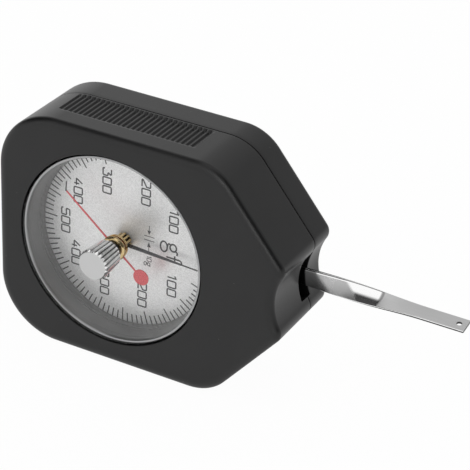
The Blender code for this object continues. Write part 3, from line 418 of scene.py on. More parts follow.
def front_case_shell(case):
    """The front shell as one closed grid.

    Each column is a place of the outline, and the rows follow one section: up the well's wall, over
    the window's rounded edge, out over the flat face, round the front edge, back along the side with
    its grips, in at the split and back along the inside to the well's ledge. On the window's side
    a place is radius times (cosine, sine) of the column's angle, on the outer side the outline
    moved in."""
    places, normals = case_outline(case)
    angle = np.arctan2(places[:, 1], places[:, 0])
    way = np.stack([np.cos(angle), np.sin(angle)], axis=1)
    slot = slot_share(case, places)
    window, well, split = case.window_radius, case.well_radius, case.split_depth
    edge, edge_depth = case.front_edge, case.front_edge_depth
    ledge, ledge_rear, ledge_width, well_wall, front_wall = 0.0084, 0.0100, 0.0037, 0.0018, 0.0024
    slot_start, slot_front, rim, chamfer, hair = 0.0115, 0.01345, 0.00018, 0.0002, 0.00008
    rows = []

    def ring(radius, depth):
        rows.append((radius * way, np.full(len(places), depth)))

    def side(inset, depth, slotted=True, grip=False):
        there = places - inset * normals
        depths = np.full(len(places), float(depth))
        if slotted:
            end = split + (slot_front - split) * slot
            moved = slot_start + (depths - slot_start) * (end - slot_start) / (split - slot_start)
            depths = np.where(depths > slot_start, moved, depths)
        if grip:
            roof = case.half_height - inset - grip_drop(case, places[:, 0], depths)
            near_grip = (np.abs(places[:, 0]) < window) & (np.abs(places[:, 1]) > window * 0.9)
            lowered = np.sign(places[:, 1]) * np.minimum(np.abs(there[:, 1]), roof)
            there = np.stack([there[:, 0], np.where(near_grip, lowered, there[:, 1])], axis=1)
        rows.append((there, depths))

    for depth in (ledge, 0.0080, 0.0040, 0.0006, 0.00035):
        ring(well, depth)
    for turn in np.linspace(0, math.pi / 2, 5):
        ring(well + rim * (1 - math.cos(turn)), rim * (1 - math.sin(turn)))
    ring(well + rim + 0.00006, 0)
    side(edge + hair, 0, slotted=False)
    for turn in np.linspace(0, math.pi / 2, 12):
        side(edge * (1 - math.sin(turn)), edge_depth * (1 - math.cos(turn)), slotted=False)
    for depth in (edge_depth + hair, 0.0035, 0.0055, 0.0060, 0.0062, 0.0064, 0.0066, 0.0068, 0.0073,
                  0.0090, 0.0115, 0.0135, 0.0146, 0.0150, 0.0154, 0.0159, 0.01605):
        side(0, depth, grip=True)
    for turn in np.linspace(math.pi / 6, math.pi / 2, 3):
        side(chamfer * (1 - math.cos(turn)), split - chamfer * (1 - math.sin(turn)), grip=True)
    for inset, depth in ((case.wall * 0.6, split), (case.wall, split), (case.wall, ledge_rear)):
        side(inset, depth)
    side(case.wall, front_wall, slotted=False)
    ring(window + well_wall, front_wall)
    ring(window + well_wall, ledge_rear)
    ring(window - ledge_width, ledge_rear)
    ring(window - ledge_width, ledge)
    return section_shell(rows)


def section_shell(rows, closed=True):
    """One grid from the rows of a section, each given as places in x and z and their depths."""
    flat, depths = (np.stack(part) for part in zip(*rows))
    return mesh_from_grid(row_frame(flat[..., 0], depths, flat[..., 1]), closed, True)


def rear_case_shell(case):
    """The rear cover as one closed grid between a pole outside and a pole inside the back.

    Its rows follow one section: from the middle of the flat back round the back edge, forward along
    the side to the split, along the lip that enters the front shell, and back along the inside."""
    places, normals = case_outline(case)
    slot = slot_share(case, places)
    edge, back = case.back_edge, case.depth
    slot_start, slot_rear, lip_front, back_inside = 0.0190, 0.01775, 0.0150, 0.0234
    lip_gap, lip_corner, lip_wall, chamfer, hair = 0.0003, 0.0001, 0.0008, 0.0002, 0.00008
    open_share = smooth_step(-0.020, 0.002, places[:, 0])
    near = case.split_depth + case.left_gap + (case.right_gap - case.left_gap) * open_share
    rows = []

    def side(inset, depth, lip=False):
        depths = np.broadcast_to(np.asarray(depth, float), len(places))
        moved = slot_start - (slot_start - depths) * (slot_start - slot_rear) / (slot_start - near)
        depths = np.where((slot > 0) & (depths < slot_start), np.where(lip, slot_rear, moved), depths)
        rows.append((places - inset * normals, depths))

    def shrunk(share, depth):
        rows.append((places * share, np.full(len(places), depth)))

    shrunk(0, back)
    shrunk(0.5, back)
    side(edge + hair, back)
    for turn in np.linspace(0, math.pi / 2, 10):
        side(edge * (1 - math.sin(turn)), back - edge * (1 - math.cos(turn)))
    for depth in (back - edge - hair, 0.0210, slot_start, 0.0180, near + 0.00035):
        side(0, depth)
    for turn in np.linspace(math.pi / 6, math.pi / 2, 3):
        side(chamfer * (1 - math.cos(turn)), near + chamfer * (1 - math.sin(turn)))
    lip = case.wall + lip_gap
    side(lip, near)
    side(lip, lip_front + lip_corner, lip=True)
    side(lip + 2 * lip_corner, lip_front, lip=True)
    side(lip + lip_wall, lip_front, lip=True)
    side(lip + lip_wall, slot_start)
    side(lip + lip_wall, back_inside)
    shrunk(0.5, back_inside)
    shrunk(0, back_inside)
    return section_shell(rows, False)


def boss_places(case):
    """Where the four case screws stand."""
    x = (-(case.left - 0.0095), case.shoulder_x - 0.0038)
    z = case.half_height - 0.0088
    return [(x[0], z), (x[1], z), (x[0], -z), (x[1], -z)]


# Print on the dial

def stroke_shell(path, width, near, far, closed=False):
    """A printed stroke: at each place of the path a small rectangle stands across its direction.

    Corner = place plus or minus half the width times the direction turned a quarter, at the near
    or far depth. The turned direction is widened by the mitre so that the width stays even."""
    path = np.asarray(path, float)
    if closed:
        before, after = path - np.roll(path, 1, axis=0), np.roll(path, -1, axis=0) - path
    else:
        steps = np.diff(path, axis=0)
        before, after = np.concatenate([steps[:1], steps]), np.concatenate([steps, steps[-1:]])
    before = before / np.hypot(before[:, 0], before[:, 1])[:, None]
    after = after / np.hypot(after[:, 0], after[:, 1])[:, None]
    mean = before + after
    mean /= np.hypot(mean[:, 0], mean[:, 1])[:, None]
    mitre = np.clip(np.sum(mean * after, axis=1), 0.6, 1)[:, None]
    across = np.stack([-mean[:, 1], mean[:, 0]], axis=1) * width / 2 / mitre
    left, right = path + across, path - across
    corners = np.stack([left, right, right, left], axis=1)
    depths = np.array([near, near, far, far])
    points = row_frame(corners[..., 0], np.broadcast_to(depths, corners.shape[:2]), corners[..., 1])
    vertices, faces = mesh_from_grid(points, closed, True)
    if not closed:
        last = len(vertices) - 4
        caps = np.array([[0, 1, 2, 3], [last + 3, last + 2, last + 1, last]])
        faces = np.concatenate([faces, caps])
    return vertices, faces


def glyph_paths(name):
    """Paths of one character in a box one high, as lists of corners with their rounding."""
    return {
        "0": [([(0, 0), (0, 1), (1, 1), (1, 0)], 0.18, True)],
        "1": [([(0.42, 0.84), (0.80, 1), (0.80, 0)], 0.0, False)],
        "2": [([(0, 0.72), (0, 1), (1, 1), (1, 0.55), (0, 0.12), (0, 0), (1, 0)], 0.16, False)],
        "3": [([(0, 1), (1, 1), (0.42, 0.60), (1, 0.58), (1, 0), (0, 0), (0, 0.22)], 0.16, False)],
        "4": [([(0.62, 1), (0, 0.28), (1, 0.28)], 0.05, False), ([(0.74, 0.62), (0.74, 0)], 0.0, False)],
        "5": [([(1, 1), (0.08, 1), (0, 0.56), (1, 0.60), (1, 0), (0, 0), (0, 0.20)], 0.16, False)],
    }[name]


def place_strokes(paths, width, height, centre, stroke, near, far):
    """Strokes of one character, read down the dial: its right is minus z and its top is plus x."""
    shells = []
    for corners, radius, closed in paths:
        flat = np.array(corners, float) * [width, height]
        if radius:
            flat = rounded(flat, radius * width, 4, closed)
        x = centre[0] + flat[:, 1] - height / 2
        z = centre[1] - flat[:, 0] + width / 2
        shells.append(stroke_shell(np.stack([x, z], axis=1), stroke, near, far, closed))
    return shells


def oval(centre, half_x, half_z, steps=28):
    """A closed oval path: centre plus (half x times cosine, half z times sine)."""
    angle = 2 * np.pi * np.arange(steps) / steps
    return np.stack([centre[0] + half_x * np.cos(angle), centre[1] + half_z * np.sin(angle)], axis=1)


def unit_shells(near, far):
    """The unit's letters, g and f, and the small g in the sign for one division.

    A g is an oval bowl over an oval loop, joined by a short link, with an ear at its top. The f is
    a stem whose top bends over, with a bar."""
    pen, small_pen = 0.00041, 0.00020
    link = rounded([(0.01262, 0.00210), (0.01215, 0.00262), (0.01180, 0.00200), (0.01168, 0.00130)],
                   0.0004)
    ear = rounded([(0.01400, 0.00085), (0.01455, 0.00045), (0.01440, -0.00020)], 0.0003)
    stem = rounded([(0.01150, -0.00132), (0.01560, -0.00132), (0.01590, -0.00245)], 0.0007, 5)
    strokes = [
        (oval((0.01335, 0.00160), 0.00088, 0.00100), pen, True),
        (oval((0.01075, 0.00132), 0.00094, 0.00142), pen, True),
        (link, pen, False),
        (ear, pen, False),
        (stem, pen, False),
        ([(0.01385, -0.00050), (0.01385, -0.00200)], pen, False),
        (oval((0.00665, -0.00500), 0.00038, 0.00042, 20), small_pen, True),
        (oval((0.00568, -0.00502), 0.00034, 0.00048, 20), small_pen, True),
        ([(0.00628, -0.00478), (0.00602, -0.00470)], small_pen, False),
        ([(0.00695, -0.00528), (0.00710, -0.00560)], small_pen, False),
    ]
    return [stroke_shell(line, width, near, far, closed) for line, width, closed in strokes]


def dial_print_shells(dial):
    """Every printed mark: ticks, figures, the unit and the sign for one division."""
    far = dial.face_depth
    near = far - dial.print_height
    shells = []
    for division in range(5, 51):
        for side in (1, -1):
            if division == 50 and side < 0:
                continue
            long = division % 5 == 0
            angle = dial.zero_angle + side * division * dial.division_angle
            begin = dial.tick_end - (dial.long_tick if long else dial.short_tick)
            way = np.array([math.cos(angle), math.sin(angle)])
            shells.append(stroke_shell([begin * way, dial.tick_end * way], dial.tick_width, near, far))
    figures = {"500": [(-0.0172, 0.0001)],
               "400": [(-0.0136, 0.0093), (-0.0142, -0.0082)],
               "300": [(-0.0054, 0.0144), (-0.0058, -0.0141)],
               "200": [(0.0055, 0.0144), (0.0050, -0.0142)],
               "100": [(0.0133, 0.0092), (0.0132, -0.0086)]}
    for text, centres in figures.items():
        for x, z in centres:
            for i, character in enumerate(text):
                at = (x, z + (1 - i) * dial.figure_pitch)
                shells += place_strokes(glyph_paths(character), dial.figure_width,
                                        dial.figure_height, at, dial.figure_stroke, near, far)
    shells += unit_shells(near, far)
    thin, arrow_x, barb = 0.00018, 0.0066, 0.0005
    for character, z in (("1", -0.0028), ("0", -0.0038)):
        shells += place_strokes(glyph_paths(character), 0.00075, 0.0012, (0.00675, z), thin, near, far)
    for z in (0.00272, 0.00164):
        shells.append(stroke_shell([(0.0052, z), (0.0081, z)], thin, near, far))
    for tail, tip, head in ((0.0057, 0.0032, 0.0043), (-0.0018, 0.00116, -0.0002)):
        shells.append(stroke_shell([(arrow_x, tail), (arrow_x, head)], thin, near, far))
        wedge = np.array([(arrow_x - barb, head), (arrow_x + barb, head), (arrow_x, tip), (arrow_x, tip)])
        points = np.stack([row_frame(wedge[:, 0], depth, wedge[:, 1]) for depth in (near, far)])
        vertices, faces = mesh_from_grid(points, False, True)
        shells.append((vertices, np.concatenate([faces, [[0, 1, 2, 3], [7, 6, 5, 4]]])))
    return shells


# The middle of the dial

def ribbed_shell(rows, count, groove, top, steps=12):
    """A ribbed turned shell, from rows of radius, depth and radius over the ribs (or nothing).

    Radius = the smaller of the row's own and the rib line. The rib line falls from the radius over
    the ribs by a share of the groove's depth that rises evenly from the rib's top to the middle of
    the groove."""
    angle = 2 * np.pi * np.arange(count * steps) / (count * steps)
    within = np.abs(((angle * count / (2 * np.pi)) % 1) - 0.5) * 2
    fall = groove * np.clip((within - top) / (1 - top), 0, 1)
    made = []
    for radius, depth, over_ribs in rows:
        line = np.minimum(radius, over_ribs - fall) if over_ribs else np.full(len(angle), radius)
        made.append(row_frame(line * np.cos(angle), depth, line * np.sin(angle)))
    return mesh_from_grid(np.stack(made), False, True)


def knob_shell(centre):
    """The reset knob: an end face, a long chamfer, ribs that taper towards the window, and a bore."""
    near, far, chamfer = -centre.knob_near, -centre.knob_far, centre.knob_chamfer
    face, radius, rear = centre.knob_face_radius, centre.knob_radius, centre.knob_rear_radius
    bore, bore_end = 0.00095, -0.0045

    def over(depth):
        return rear + (radius - rear) * min(1, (far - depth) / (far - near - chamfer))

    ease = 0.00006
    rows = [(0, near, 0), (0.0012, near, 0), (face - 0.00035, near, 0), (face - ease, near, 0),
            (face - ease / 3, near + ease / 3, radius), (face, near + ease, radius)]
    for share in (0.12, 0.3, 0.5, 0.7, 0.85, 0.95):
        rows.append((face + (radius - face) * share, near + ease + chamfer * share, radius))
    for depth in (near + chamfer + 0.00008, near + chamfer + 0.0002, -0.0050, -0.0035, -0.0020, -0.0009,
                  far - 0.0002):
        rows.append((over(depth), depth, over(depth)))
    rows += [(rear - 0.00012, far - 0.00004, rear), (rear - 0.0002, far, rear), (0.0030, far, 0),
             (bore, far, 0), (bore, bore_end, 0), (0, bore_end, 0)]
    return ribbed_shell(rows, centre.knob_ribs, centre.knob_groove, 1 / 3)


def strip_shell(stations, half_width, middle, thickness, direction, ridge=0.0):
    """A flat strip along a direction in the dial's plane, with eased edges and an optional ridge.

    Place = station times direction + across times the direction turned a quarter; the section is
    a flat hexagon or, with a ridge, a low roof."""
    stations, half_width = np.asarray(stations, float), np.asarray(half_width, float)
    way = np.array([math.cos(direction), math.sin(direction)])
    side = np.array([-way[1], way[0]])
    ease = np.minimum(0.00006, half_width * 0.3)
    across = np.stack([-half_width, -half_width + ease, np.zeros_like(half_width), half_width - ease,
                       half_width, half_width - ease, np.zeros_like(half_width), -half_width + ease],
                      axis=1)
    lift = np.array([0, -0.5 + ridge, -0.5, -0.5 + ridge, 0, 0.5, 0.5, 0.5]) * thickness
    middle = np.broadcast_to(np.asarray(middle, float), stations.shape)
    flat = stations[:, None, None] * way + across[..., None] * side
    points = row_frame(flat[..., 0], middle[:, None] + lift, flat[..., 1])
    vertices, faces = mesh_from_grid(points, False, True)
    last = len(vertices) - 8
    caps = [[0, 1, 2, 3], [0, 3, 4, 7], [4, 5, 6, 7]]
    caps = np.array(caps + [[last + i for i in reversed(cap)] for cap in caps])
    return vertices, np.concatenate([faces, caps])


# The lever

def lever_shell(lever):
    """The steel strip and its faces' looks: an eye, an upright root, a long twist and a flat blade.

    Turn t(x) is the whole twist times 3 s squared minus 2 s cubed, s being the share of its length
    that lies behind x. A place is (x, middle depth + across times sin t - lift times cos t,
    across times cos t + lift times sin t), with across and lift going round a rounded section."""
    tip, eye, half, corner = lever.axle_x + lever.reach, lever.eye_radius, lever.width / 2, 0.00025
    begin = lever.axle_x + lever.twist_start
    neck, end = lever.axle_x + math.sqrt(eye ** 2 - half ** 2), begin + lever.twist_length
    turn = np.linspace(0, math.pi - math.asin(half / eye), 26)
    rest = np.concatenate([np.linspace(neck, begin, 10)[1:], np.linspace(begin, end, 64)[1:],
                           np.linspace(end, tip, 16)[1:-1]])
    tip_turn = np.linspace(0, math.pi / 2, 5)
    x = np.concatenate([lever.axle_x - eye * np.cos(turn), rest, tip - corner + corner * np.sin(tip_turn)])
    width = np.concatenate([np.maximum(eye * np.sin(turn), 0.0002), np.full(len(rest), half),
                            half - corner + corner * np.cos(tip_turn)])
    s = np.clip((x - begin) / lever.twist_length, 0, 1)
    angle = lever.twist_angle * (3 * s ** 2 - 2 * s ** 3)
    edge, swell, hang = lever.edge_radius, (0.0395, 0.0425), (0.045, 0.066)
    outside = smooth_step(*swell, x)[:, None]
    thick = (lever.thickness + (lever.outer_thickness - lever.thickness) * outside) / 2
    quarter = np.linspace(0, math.pi / 2, 4)
    flat_across = np.linspace(-1, 1, 9) * (width - edge - 0.00002)[:, None]
    flat_lift = np.broadcast_to(thick, flat_across.shape)
    right = (width - edge)[:, None] + edge * np.sin(quarter)
    lift_up, sheared = thick - edge + edge * np.cos(quarter), 0.55 * thick
    middle = width[:, None]
    across = np.concatenate([flat_across, right, middle, right[:, ::-1], flat_across[:, ::-1], -right,
                             -middle, -right[:, ::-1]], axis=1)
    lift = np.concatenate([flat_lift, lift_up, sheared, -lift_up[:, ::-1], -flat_lift, -lift_up, sheared,
                           lift_up[:, ::-1]], axis=1)
    sine, cosine = np.sin(angle)[:, None], np.cos(angle)[:, None]
    depth = lever.middle_depth + across * sine - lift * cosine
    z = across * cosine + lift * sine - lever.droop * smooth_step(*hang, x)[:, None]
    points = row_frame(x[:, None], depth, z)
    ends = np.repeat(points.mean(axis=1)[[0, -1]][:, None, :], points.shape[1], axis=1)
    points = np.concatenate([ends[:1], points, ends[1:]])
    vertices, faces = mesh_from_grid(points, False, True)
    looks = np.zeros((len(points) - 1, points.shape[1]), int)
    # Look 1 gives the rounded edges a painted highlight; look 2 gives the sheared edges and the tip's end
    # painted shade.
    bright, edge_shade, edge_shade_until = 1, 2, 0.0640
    looks[:, 9:13] = looks[:, 31:36] = bright
    looks[:, 13:17] = looks[:, 26:31] = edge_shade
    # Towards the axle the upper rounded edge takes the painted shade too, as a dark line.
    looks[1:-1][x[:-1] < edge_shade_until, 10:13] = edge_shade
    looks[-1] = edge_shade
    return (vertices, faces), looks.ravel()


# Shader maths

class Amount:
    """A node's socket on which plain Python sums make Math nodes."""

    def __init__(self, shop, socket):
        self.shop, self.socket = shop, socket

    def sum_with(self, operation, first, second=0.0):
        return self.shop.node("ShaderNodeMath", {"operation": operation}, {0: first, 1: second})[0]

    def __add__(self, other):
        return self.sum_with("ADD", self, other)

    __radd__ = __add__

    def __sub__(self, other):
        return self.sum_with("SUBTRACT", self, other)

    def __rsub__(self, other):
        return self.sum_with("SUBTRACT", other, self)

    def __mul__(self, other):
        return self.sum_with("MULTIPLY", self, other)

    def __truediv__(self, other):
        return self.sum_with("DIVIDE", self, other)

    def __pow__(self, other):
        return self.sum_with("POWER", self, other)

    def root(self):
        return self.sum_with("SQRT", self)

    def above(self, limit):
        return self.sum_with("GREATER_THAN", self, limit)

    def least(self, other):
        return self.sum_with("MINIMUM", self, other)

    def ease(self, low, high):
        """Nothing below low, one above high, and a smooth rise between."""
        kind = {"interpolation_type": "SMOOTHSTEP"}
        return self.shop.node("ShaderNodeMapRange", kind, {"Value": self, "From Min": low,
                                                           "From Max": high})["Result"]


class Outputs:
    """A node's outputs by name or number."""

    def __init__(self, shop, node):
        self.shop, self.node = shop, node

    def __getitem__(self, name):
        return Amount(self.shop, self.node.outputs[name])


class Finish:
    """One material or world and the nodes in it."""

    def __init__(self, owner):
        owner.use_nodes = True
        self.owner, self.tree = owner, owner.node_tree
        self.tree.nodes.clear()

    def node(self, kind, settings=None, sockets=None):
        """A node of a type, with its settings first and then the values or links of its sockets."""
        made = self.tree.nodes.new(kind)
        for setting, value in (settings or {}).items():
            setattr(made, setting, value)
        for socket, value in (sockets or {}).items():
            if isinstance(value, Amount):
                self.tree.links.new(value.socket, made.inputs[socket])
            else:
                made.inputs[socket].default_value = value
        return Outputs(self, made)

    def blend(self, share, first, second):
        """A colour between two, by a share."""
        full = [value if isinstance(value, Amount) else (*value, 1) for value in (first, second)]
        return self.node("ShaderNodeMix", {"data_type": "RGBA"}, {0: share, 6: full[0], 7: full[1]})[2]

    def coordinates(self, scale):
        """Object coordinates, stretched."""
        place = self.node("ShaderNodeTexCoord")["Object"]
        return self.node("ShaderNodeMapping", {"vector_type": "TEXTURE"},
                         {"Vector": place, "Scale": scale})[0]

    def grain(self, size, stretch=(1, 1, 1), detail=3.0, rough=0.55):
        """Soft noise whose features have a size in metres, stretched along the axes."""
        place = self.coordinates(tuple(size * part for part in stretch))
        return self.node("ShaderNodeTexNoise", None,
                         {"Vector": place, "Scale": 1.0, "Detail": detail, "Roughness": rough})[0]

    def axes(self):
        """x, y and z of the object coordinates."""
        place = self.node("ShaderNodeTexCoord")["Object"]
        split = self.node("ShaderNodeSeparateXYZ", None, {0: place})
        return split[0], split[1], split[2]

    def bump(self, height, distance):
        """A normal from a height, whose whole range is a distance in metres."""
        return self.node("ShaderNodeBump", None,
                         {"Height": height, "Distance": distance, "Strength": 1.0})[0]

    def surface(self, **sockets):
        """The shader itself, and its output."""
        names = {"colour": "Base Color", "roughness": "Roughness", "metallic": "Metallic",
                 "normal": "Normal", "specular": "Specular IOR Level"}
        links = {names[key]: value if isinstance(value, (Amount, float)) else (*value, 1)
                 for key, value in sockets.items()}
        return self.node("ShaderNodeBsdfPrincipled", None, links)[0]

    def show(self, shader, output="ShaderNodeOutputMaterial"):
        """Links a shader to the output, and gives the material or world."""
        self.node(output, None, {"Surface": shader})
        return self.owner


def new_finish(name):
    """A finish of a new material."""
    return Finish(bpy.data.materials.new(name))


def shaded(colour, factor):
    """A colour times a factor, held at one."""
    return tuple(min(1, part * factor) for part in colour)


def mirror_share(path):
    """One for rays that left a mirror or passed clear plastic, and nothing for the others."""
    return (path["Is Glossy Ray"] + path["Is Transmission Ray"]).least(1.0)


def plastic_finish(name, colour):
    """Black moulded plastic: fine eroded grain, faint flow patches and a few specks of dust."""
    shop = new_finish(name)
    fine, patch = shop.grain(0.00022, detail=2.0), shop.grain(0.012)
    speck = shop.node("ShaderNodeTexVoronoi", {"feature": "F1"},
                      {"Vector": shop.coordinates((0.0042,) * 3), "Scale": 1.0})
    dust = 1 - speck["Distance"].ease(0.018, 0.032)
    body = shop.blend(patch.ease(0.35, 0.65), shaded(colour, 0.85), shaded(colour, 1.2))
    body = shop.blend(dust * 0.35, body, (0.22, 0.22, 0.22))
    rough = 0.36 + (fine - 0.5) * 0.14 + (patch - 0.5) * 0.10
    return shop.show(shop.surface(colour=body, roughness=rough, specular=0.44,
                                  normal=shop.bump(fine, 0.000006)))


def dial_finish(name, colour):
    """Satin silver: a fine blasted grain in colour, gloss and bump, with soft patches."""
    shop = new_finish(name)
    fine, patch = shop.grain(0.00030, rough=0.7), shop.grain(0.006, detail=2.0)
    body = shop.blend(fine.ease(0.30, 0.70), shaded(colour, 0.82), shaded(colour, 1.12))
    rough = 0.38 + (fine - 0.5) * 0.24 + (patch - 0.5) * 0.06
    return shop.show(shop.surface(colour=body, metallic=0.48, roughness=rough,
                                  normal=shop.bump(fine, 0.000012)))


def ink_finish(name, colour):
    """Printed ink: nearly black, thinner in places, with a dull sheen."""
    shop = new_finish(name)
    fine = shop.grain(0.00012, detail=2.0)
    body = shop.blend(fine.ease(0.45, 0.85), colour, tuple(part + 0.05 for part in colour))
    return shop.show(shop.surface(colour=body, roughness=0.5 + (fine - 0.5) * 0.2,
                                  normal=shop.bump(fine, 0.000002)))


def worn_metal(shop, lines, stain, colour, roughness):
    """Metal whose fine lines and stains set its shade, its gloss and its bump."""
    body = shop.blend(lines * 0.5 + stain * 0.5, shaded(colour, 0.80), shaded(colour, 1.12))
    rough = roughness + (lines - 0.5) * 0.16 + (stain - 0.5) * 0.10
    return shop.show(shop.surface(colour=body, metallic=1.0, roughness=rough,
                                  normal=shop.bump(lines, 0.000004)))


def turned_metal_finish(name, colour, roughness):
    """Turned metal: fine rings about the dial's axis, light and dark with polish."""
    shop = new_finish(name)
    x, y, z = shop.axes()
    ring = 0.00010
    place = shop.node("ShaderNodeCombineXYZ", None,
                      {0: (x ** 2 + z ** 2).root() / ring, 1: y / ring * 0.7})[0]
    lines = shop.node("ShaderNodeTexNoise", {"noise_dimensions": "2D"},
                      {"Vector": place, "Scale": 1.0, "Detail": 2.0})[0]
    return worn_metal(shop, lines, shop.grain(0.0015), colour, roughness)


def knob_finish(name, colour, centre, front):
    """Turned and knurled aluminium: a satin end face, bright ribs, and painted shade darkening the grooves.
    """
    shop = new_finish(name)
    x, y, z = shop.axes()
    radius = (x ** 2 + z ** 2).root()
    ahead = front - centre.knob_far - y
    whole = centre.knob_near - centre.knob_far
    taper = (centre.knob_radius - centre.knob_rear_radius) / (whole - centre.knob_chamfer)
    slope = (centre.knob_radius - centre.knob_face_radius) / centre.knob_chamfer
    cone = (whole - ahead) * slope + centre.knob_face_radius
    over = (ahead * taper + centre.knob_rear_radius).least(centre.knob_radius).least(cone)
    groove = (over - radius).ease(0.25 * centre.knob_groove, 0.95 * centre.knob_groove)
    end_face = ahead.ease(whole - 0.00008, whole - 0.00003)
    lines, stain = shop.grain(0.00010, stretch=(1, 8, 1), detail=2.0), shop.grain(0.0015)
    body = shop.blend(lines * 0.5 + stain * 0.5, shaded(colour, 0.88), shaded(colour, 1.10))
    # Painted shade: the grooves between the ribs are darkened.
    body = shop.blend(groove * (1 - end_face), body, shaded(colour, 0.30))
    body = shop.blend(end_face, body, shaded(colour, 0.70))
    rough = 0.13 + end_face * 0.22 + (lines - 0.5) * 0.06 + (stain - 0.5) * 0.06
    return shop.show(shop.surface(colour=body, metallic=1.0, roughness=rough,
                                  normal=shop.bump(lines, 0.000002)))


def ribbed_brass_finish(name, colour, top):
    """Bright brass ribs with painted shade darkening the grooves between them."""
    shop = new_finish(name)
    x, z = shop.axes()[::2]
    radius = (x ** 2 + z ** 2).root()
    groove = 1 - radius.ease(top - 0.0004, top - 0.00005)
    stain = shop.grain(0.0006)
    ribs = shop.blend(stain, shaded(colour, 0.80), shaded(colour, 1.15))
    # Painted shade: the grooves are darkened nearly to black.
    body = shop.blend(groove, ribs, shaded(colour, 0.10))
    return shop.show(shop.surface(colour=body, metallic=1.0, roughness=0.12 + stain * 0.08,
                                  normal=shop.bump(stain, 0.000003)))


def lacquer_finish(name, colour, roughness, dark_tip=None):
    """Lacquer on thin metal: slight orange peel and a thinner coat here and there.

    A dark tip is given by the pointer's direction and the distance at which the dark grey starts."""
    shop = new_finish(name)
    fine = shop.grain(0.00035, detail=2.0)
    body = shop.blend(fine.ease(0.3, 0.75), shaded(colour, 0.82), shaded(colour, 1.15))
    if dark_tip:
        angle, bend = dark_tip
        x, z = shop.axes()[::2]
        along = x * math.cos(angle) + z * math.sin(angle)
        body = shop.blend(along.ease(bend - 0.0001, bend + 0.0001), body, (0.035, 0.033, 0.040))
    return shop.show(shop.surface(colour=body, roughness=roughness + (fine - 0.5) * 0.18,
                                  normal=shop.bump(fine, 0.000004)))


def lever_finish(name, colour, polish, middle_y):
    """Steel strip brushed along its length, glossier where it was gripped and twisted, and much paler there
    from a painted highlight.

    The painted highlight starts along a slanting line and ends in a round nail shape with a painted dark
    line.
    Past it the strip's upper edge has a painted dark rim with a painted highlight line inside."""
    shop = new_finish(name)
    x, y, z = shop.axes()
    slant, nail_z, nail_bend = 1.3, 0.0006, 200
    begin = (x + z * slant).ease(0.0567, 0.0581)
    past = x + (z - nail_z) ** 2 * nail_bend
    # Where the painted highlight lies; there the strip is also glossier.
    bright = begin * (1 - past.ease(0.0644, 0.0649))
    # A painted dark line at the nail-shaped end of the painted highlight.
    line = past.ease(0.0639, 0.0644) * (1 - past.ease(0.0646, 0.0651)) * z.ease(-0.0012, 0.0004)
    root = 1 - x.ease(0.0500, 0.0540)
    across = ((y - middle_y) ** 2 + z ** 2).root()
    upper = z.ease(0.0002, 0.0010) * (1 - x.ease(0.0638, 0.0646))
    # A painted dark rim along the upper edge, with a painted highlight line inside it.
    rim = across.ease(0.00184, 0.00194) * upper
    shine = across.ease(0.00158, 0.00166) * (1 - across.ease(0.00182, 0.00188)) * upper
    lines, stain = shop.grain(0.00009, stretch=(60, 1, 1)), shop.grain(0.003, stretch=(3, 1, 1))
    brushed = shop.blend(lines * 0.6 + stain * 0.4, shaded(colour, 0.84), shaded(colour, 1.14))
    # Painted shade: towards the root beside the case the brushed colour is darker.
    brushed = shop.blend(1 - x.ease(0.0520, 0.0600), brushed, shaded(colour, 0.80))
    polish_and_highlight = (bright + shine).least(1.0)
    # Painted highlight: the paler polish colour replaces the brushed steel here.
    body = shop.blend(polish_and_highlight, brushed, polish)
    # Painted dark line and painted dark rim, nearly black.
    body = shop.blend((line * 0.7 + rim * 0.85).least(1.0), body, (0.04, 0.04, 0.04))
    rough = 0.33 - polish_and_highlight * 0.25 - root * 0.17
    rough = rough + (lines - 0.5) * (0.14 - bright * 0.10 - root * 0.08) + (stain - 0.5) * 0.05
    return shop.show(shop.surface(colour=body, metallic=1.0, roughness=rough,
                                  normal=shop.bump(lines * (1 - bright * 0.8), 0.000004)))


def window_finish(name):
    """Clear window: it lets light straight through and shines more at a grazing look."""
    shop = new_finish(name)
    fine = shop.grain(0.004, detail=2.0)
    glare = shop.node("ShaderNodeLayerWeight", None, {"Blend": 0.5})["Facing"] ** 5 * 0.6 + 0.03
    shine = shop.surface(colour=(0.96, 0.97, 0.97), metallic=1.0, roughness=0.04 + fine * 0.03)
    clear = shop.node("ShaderNodeBsdfTransparent", None, {0: (0.99, 0.99, 0.99, 1)})[0]
    return shop.show(shop.node("ShaderNodeMixShader", None, {0: glare, 1: clear, 2: shine})[0])


def window_edge_finish(name, colour, case_depth):
    """The window's cut wall: satin grey with machining lines round it, and a painted highlight making its
    front rim paler.
    """
    shop = new_finish(name)
    depth = shop.axes()[1] + case_depth
    rim, line_pitch = 1 - depth.ease(0.0007, 0.0011), 0.0004
    lines = shop.node("ShaderNodeTexNoise", {"noise_dimensions": "1D"},
                      {"W": depth / line_pitch, "Scale": 1.0, "Detail": 2.0})[0]
    body = shop.blend(lines, shaded(colour, 0.9), colour)
    # Painted highlight: the front rim is paler.
    body = shop.blend(rim * 0.7, body, (0.47, 0.475, 0.48))
    return shop.show(shop.surface(colour=body, metallic=1.0, roughness=0.25 + lines * 0.08,
                                  normal=shop.bump(lines, 0.000003)))


def plain_metal_finish(name, colour, roughness, stretch=(1, 1, 1)):
    """Rolled or cut metal: fine grain, faint stains and uneven gloss."""
    shop = new_finish(name)
    return worn_metal(shop, shop.grain(0.00012, stretch), shop.grain(0.002), colour, roughness)


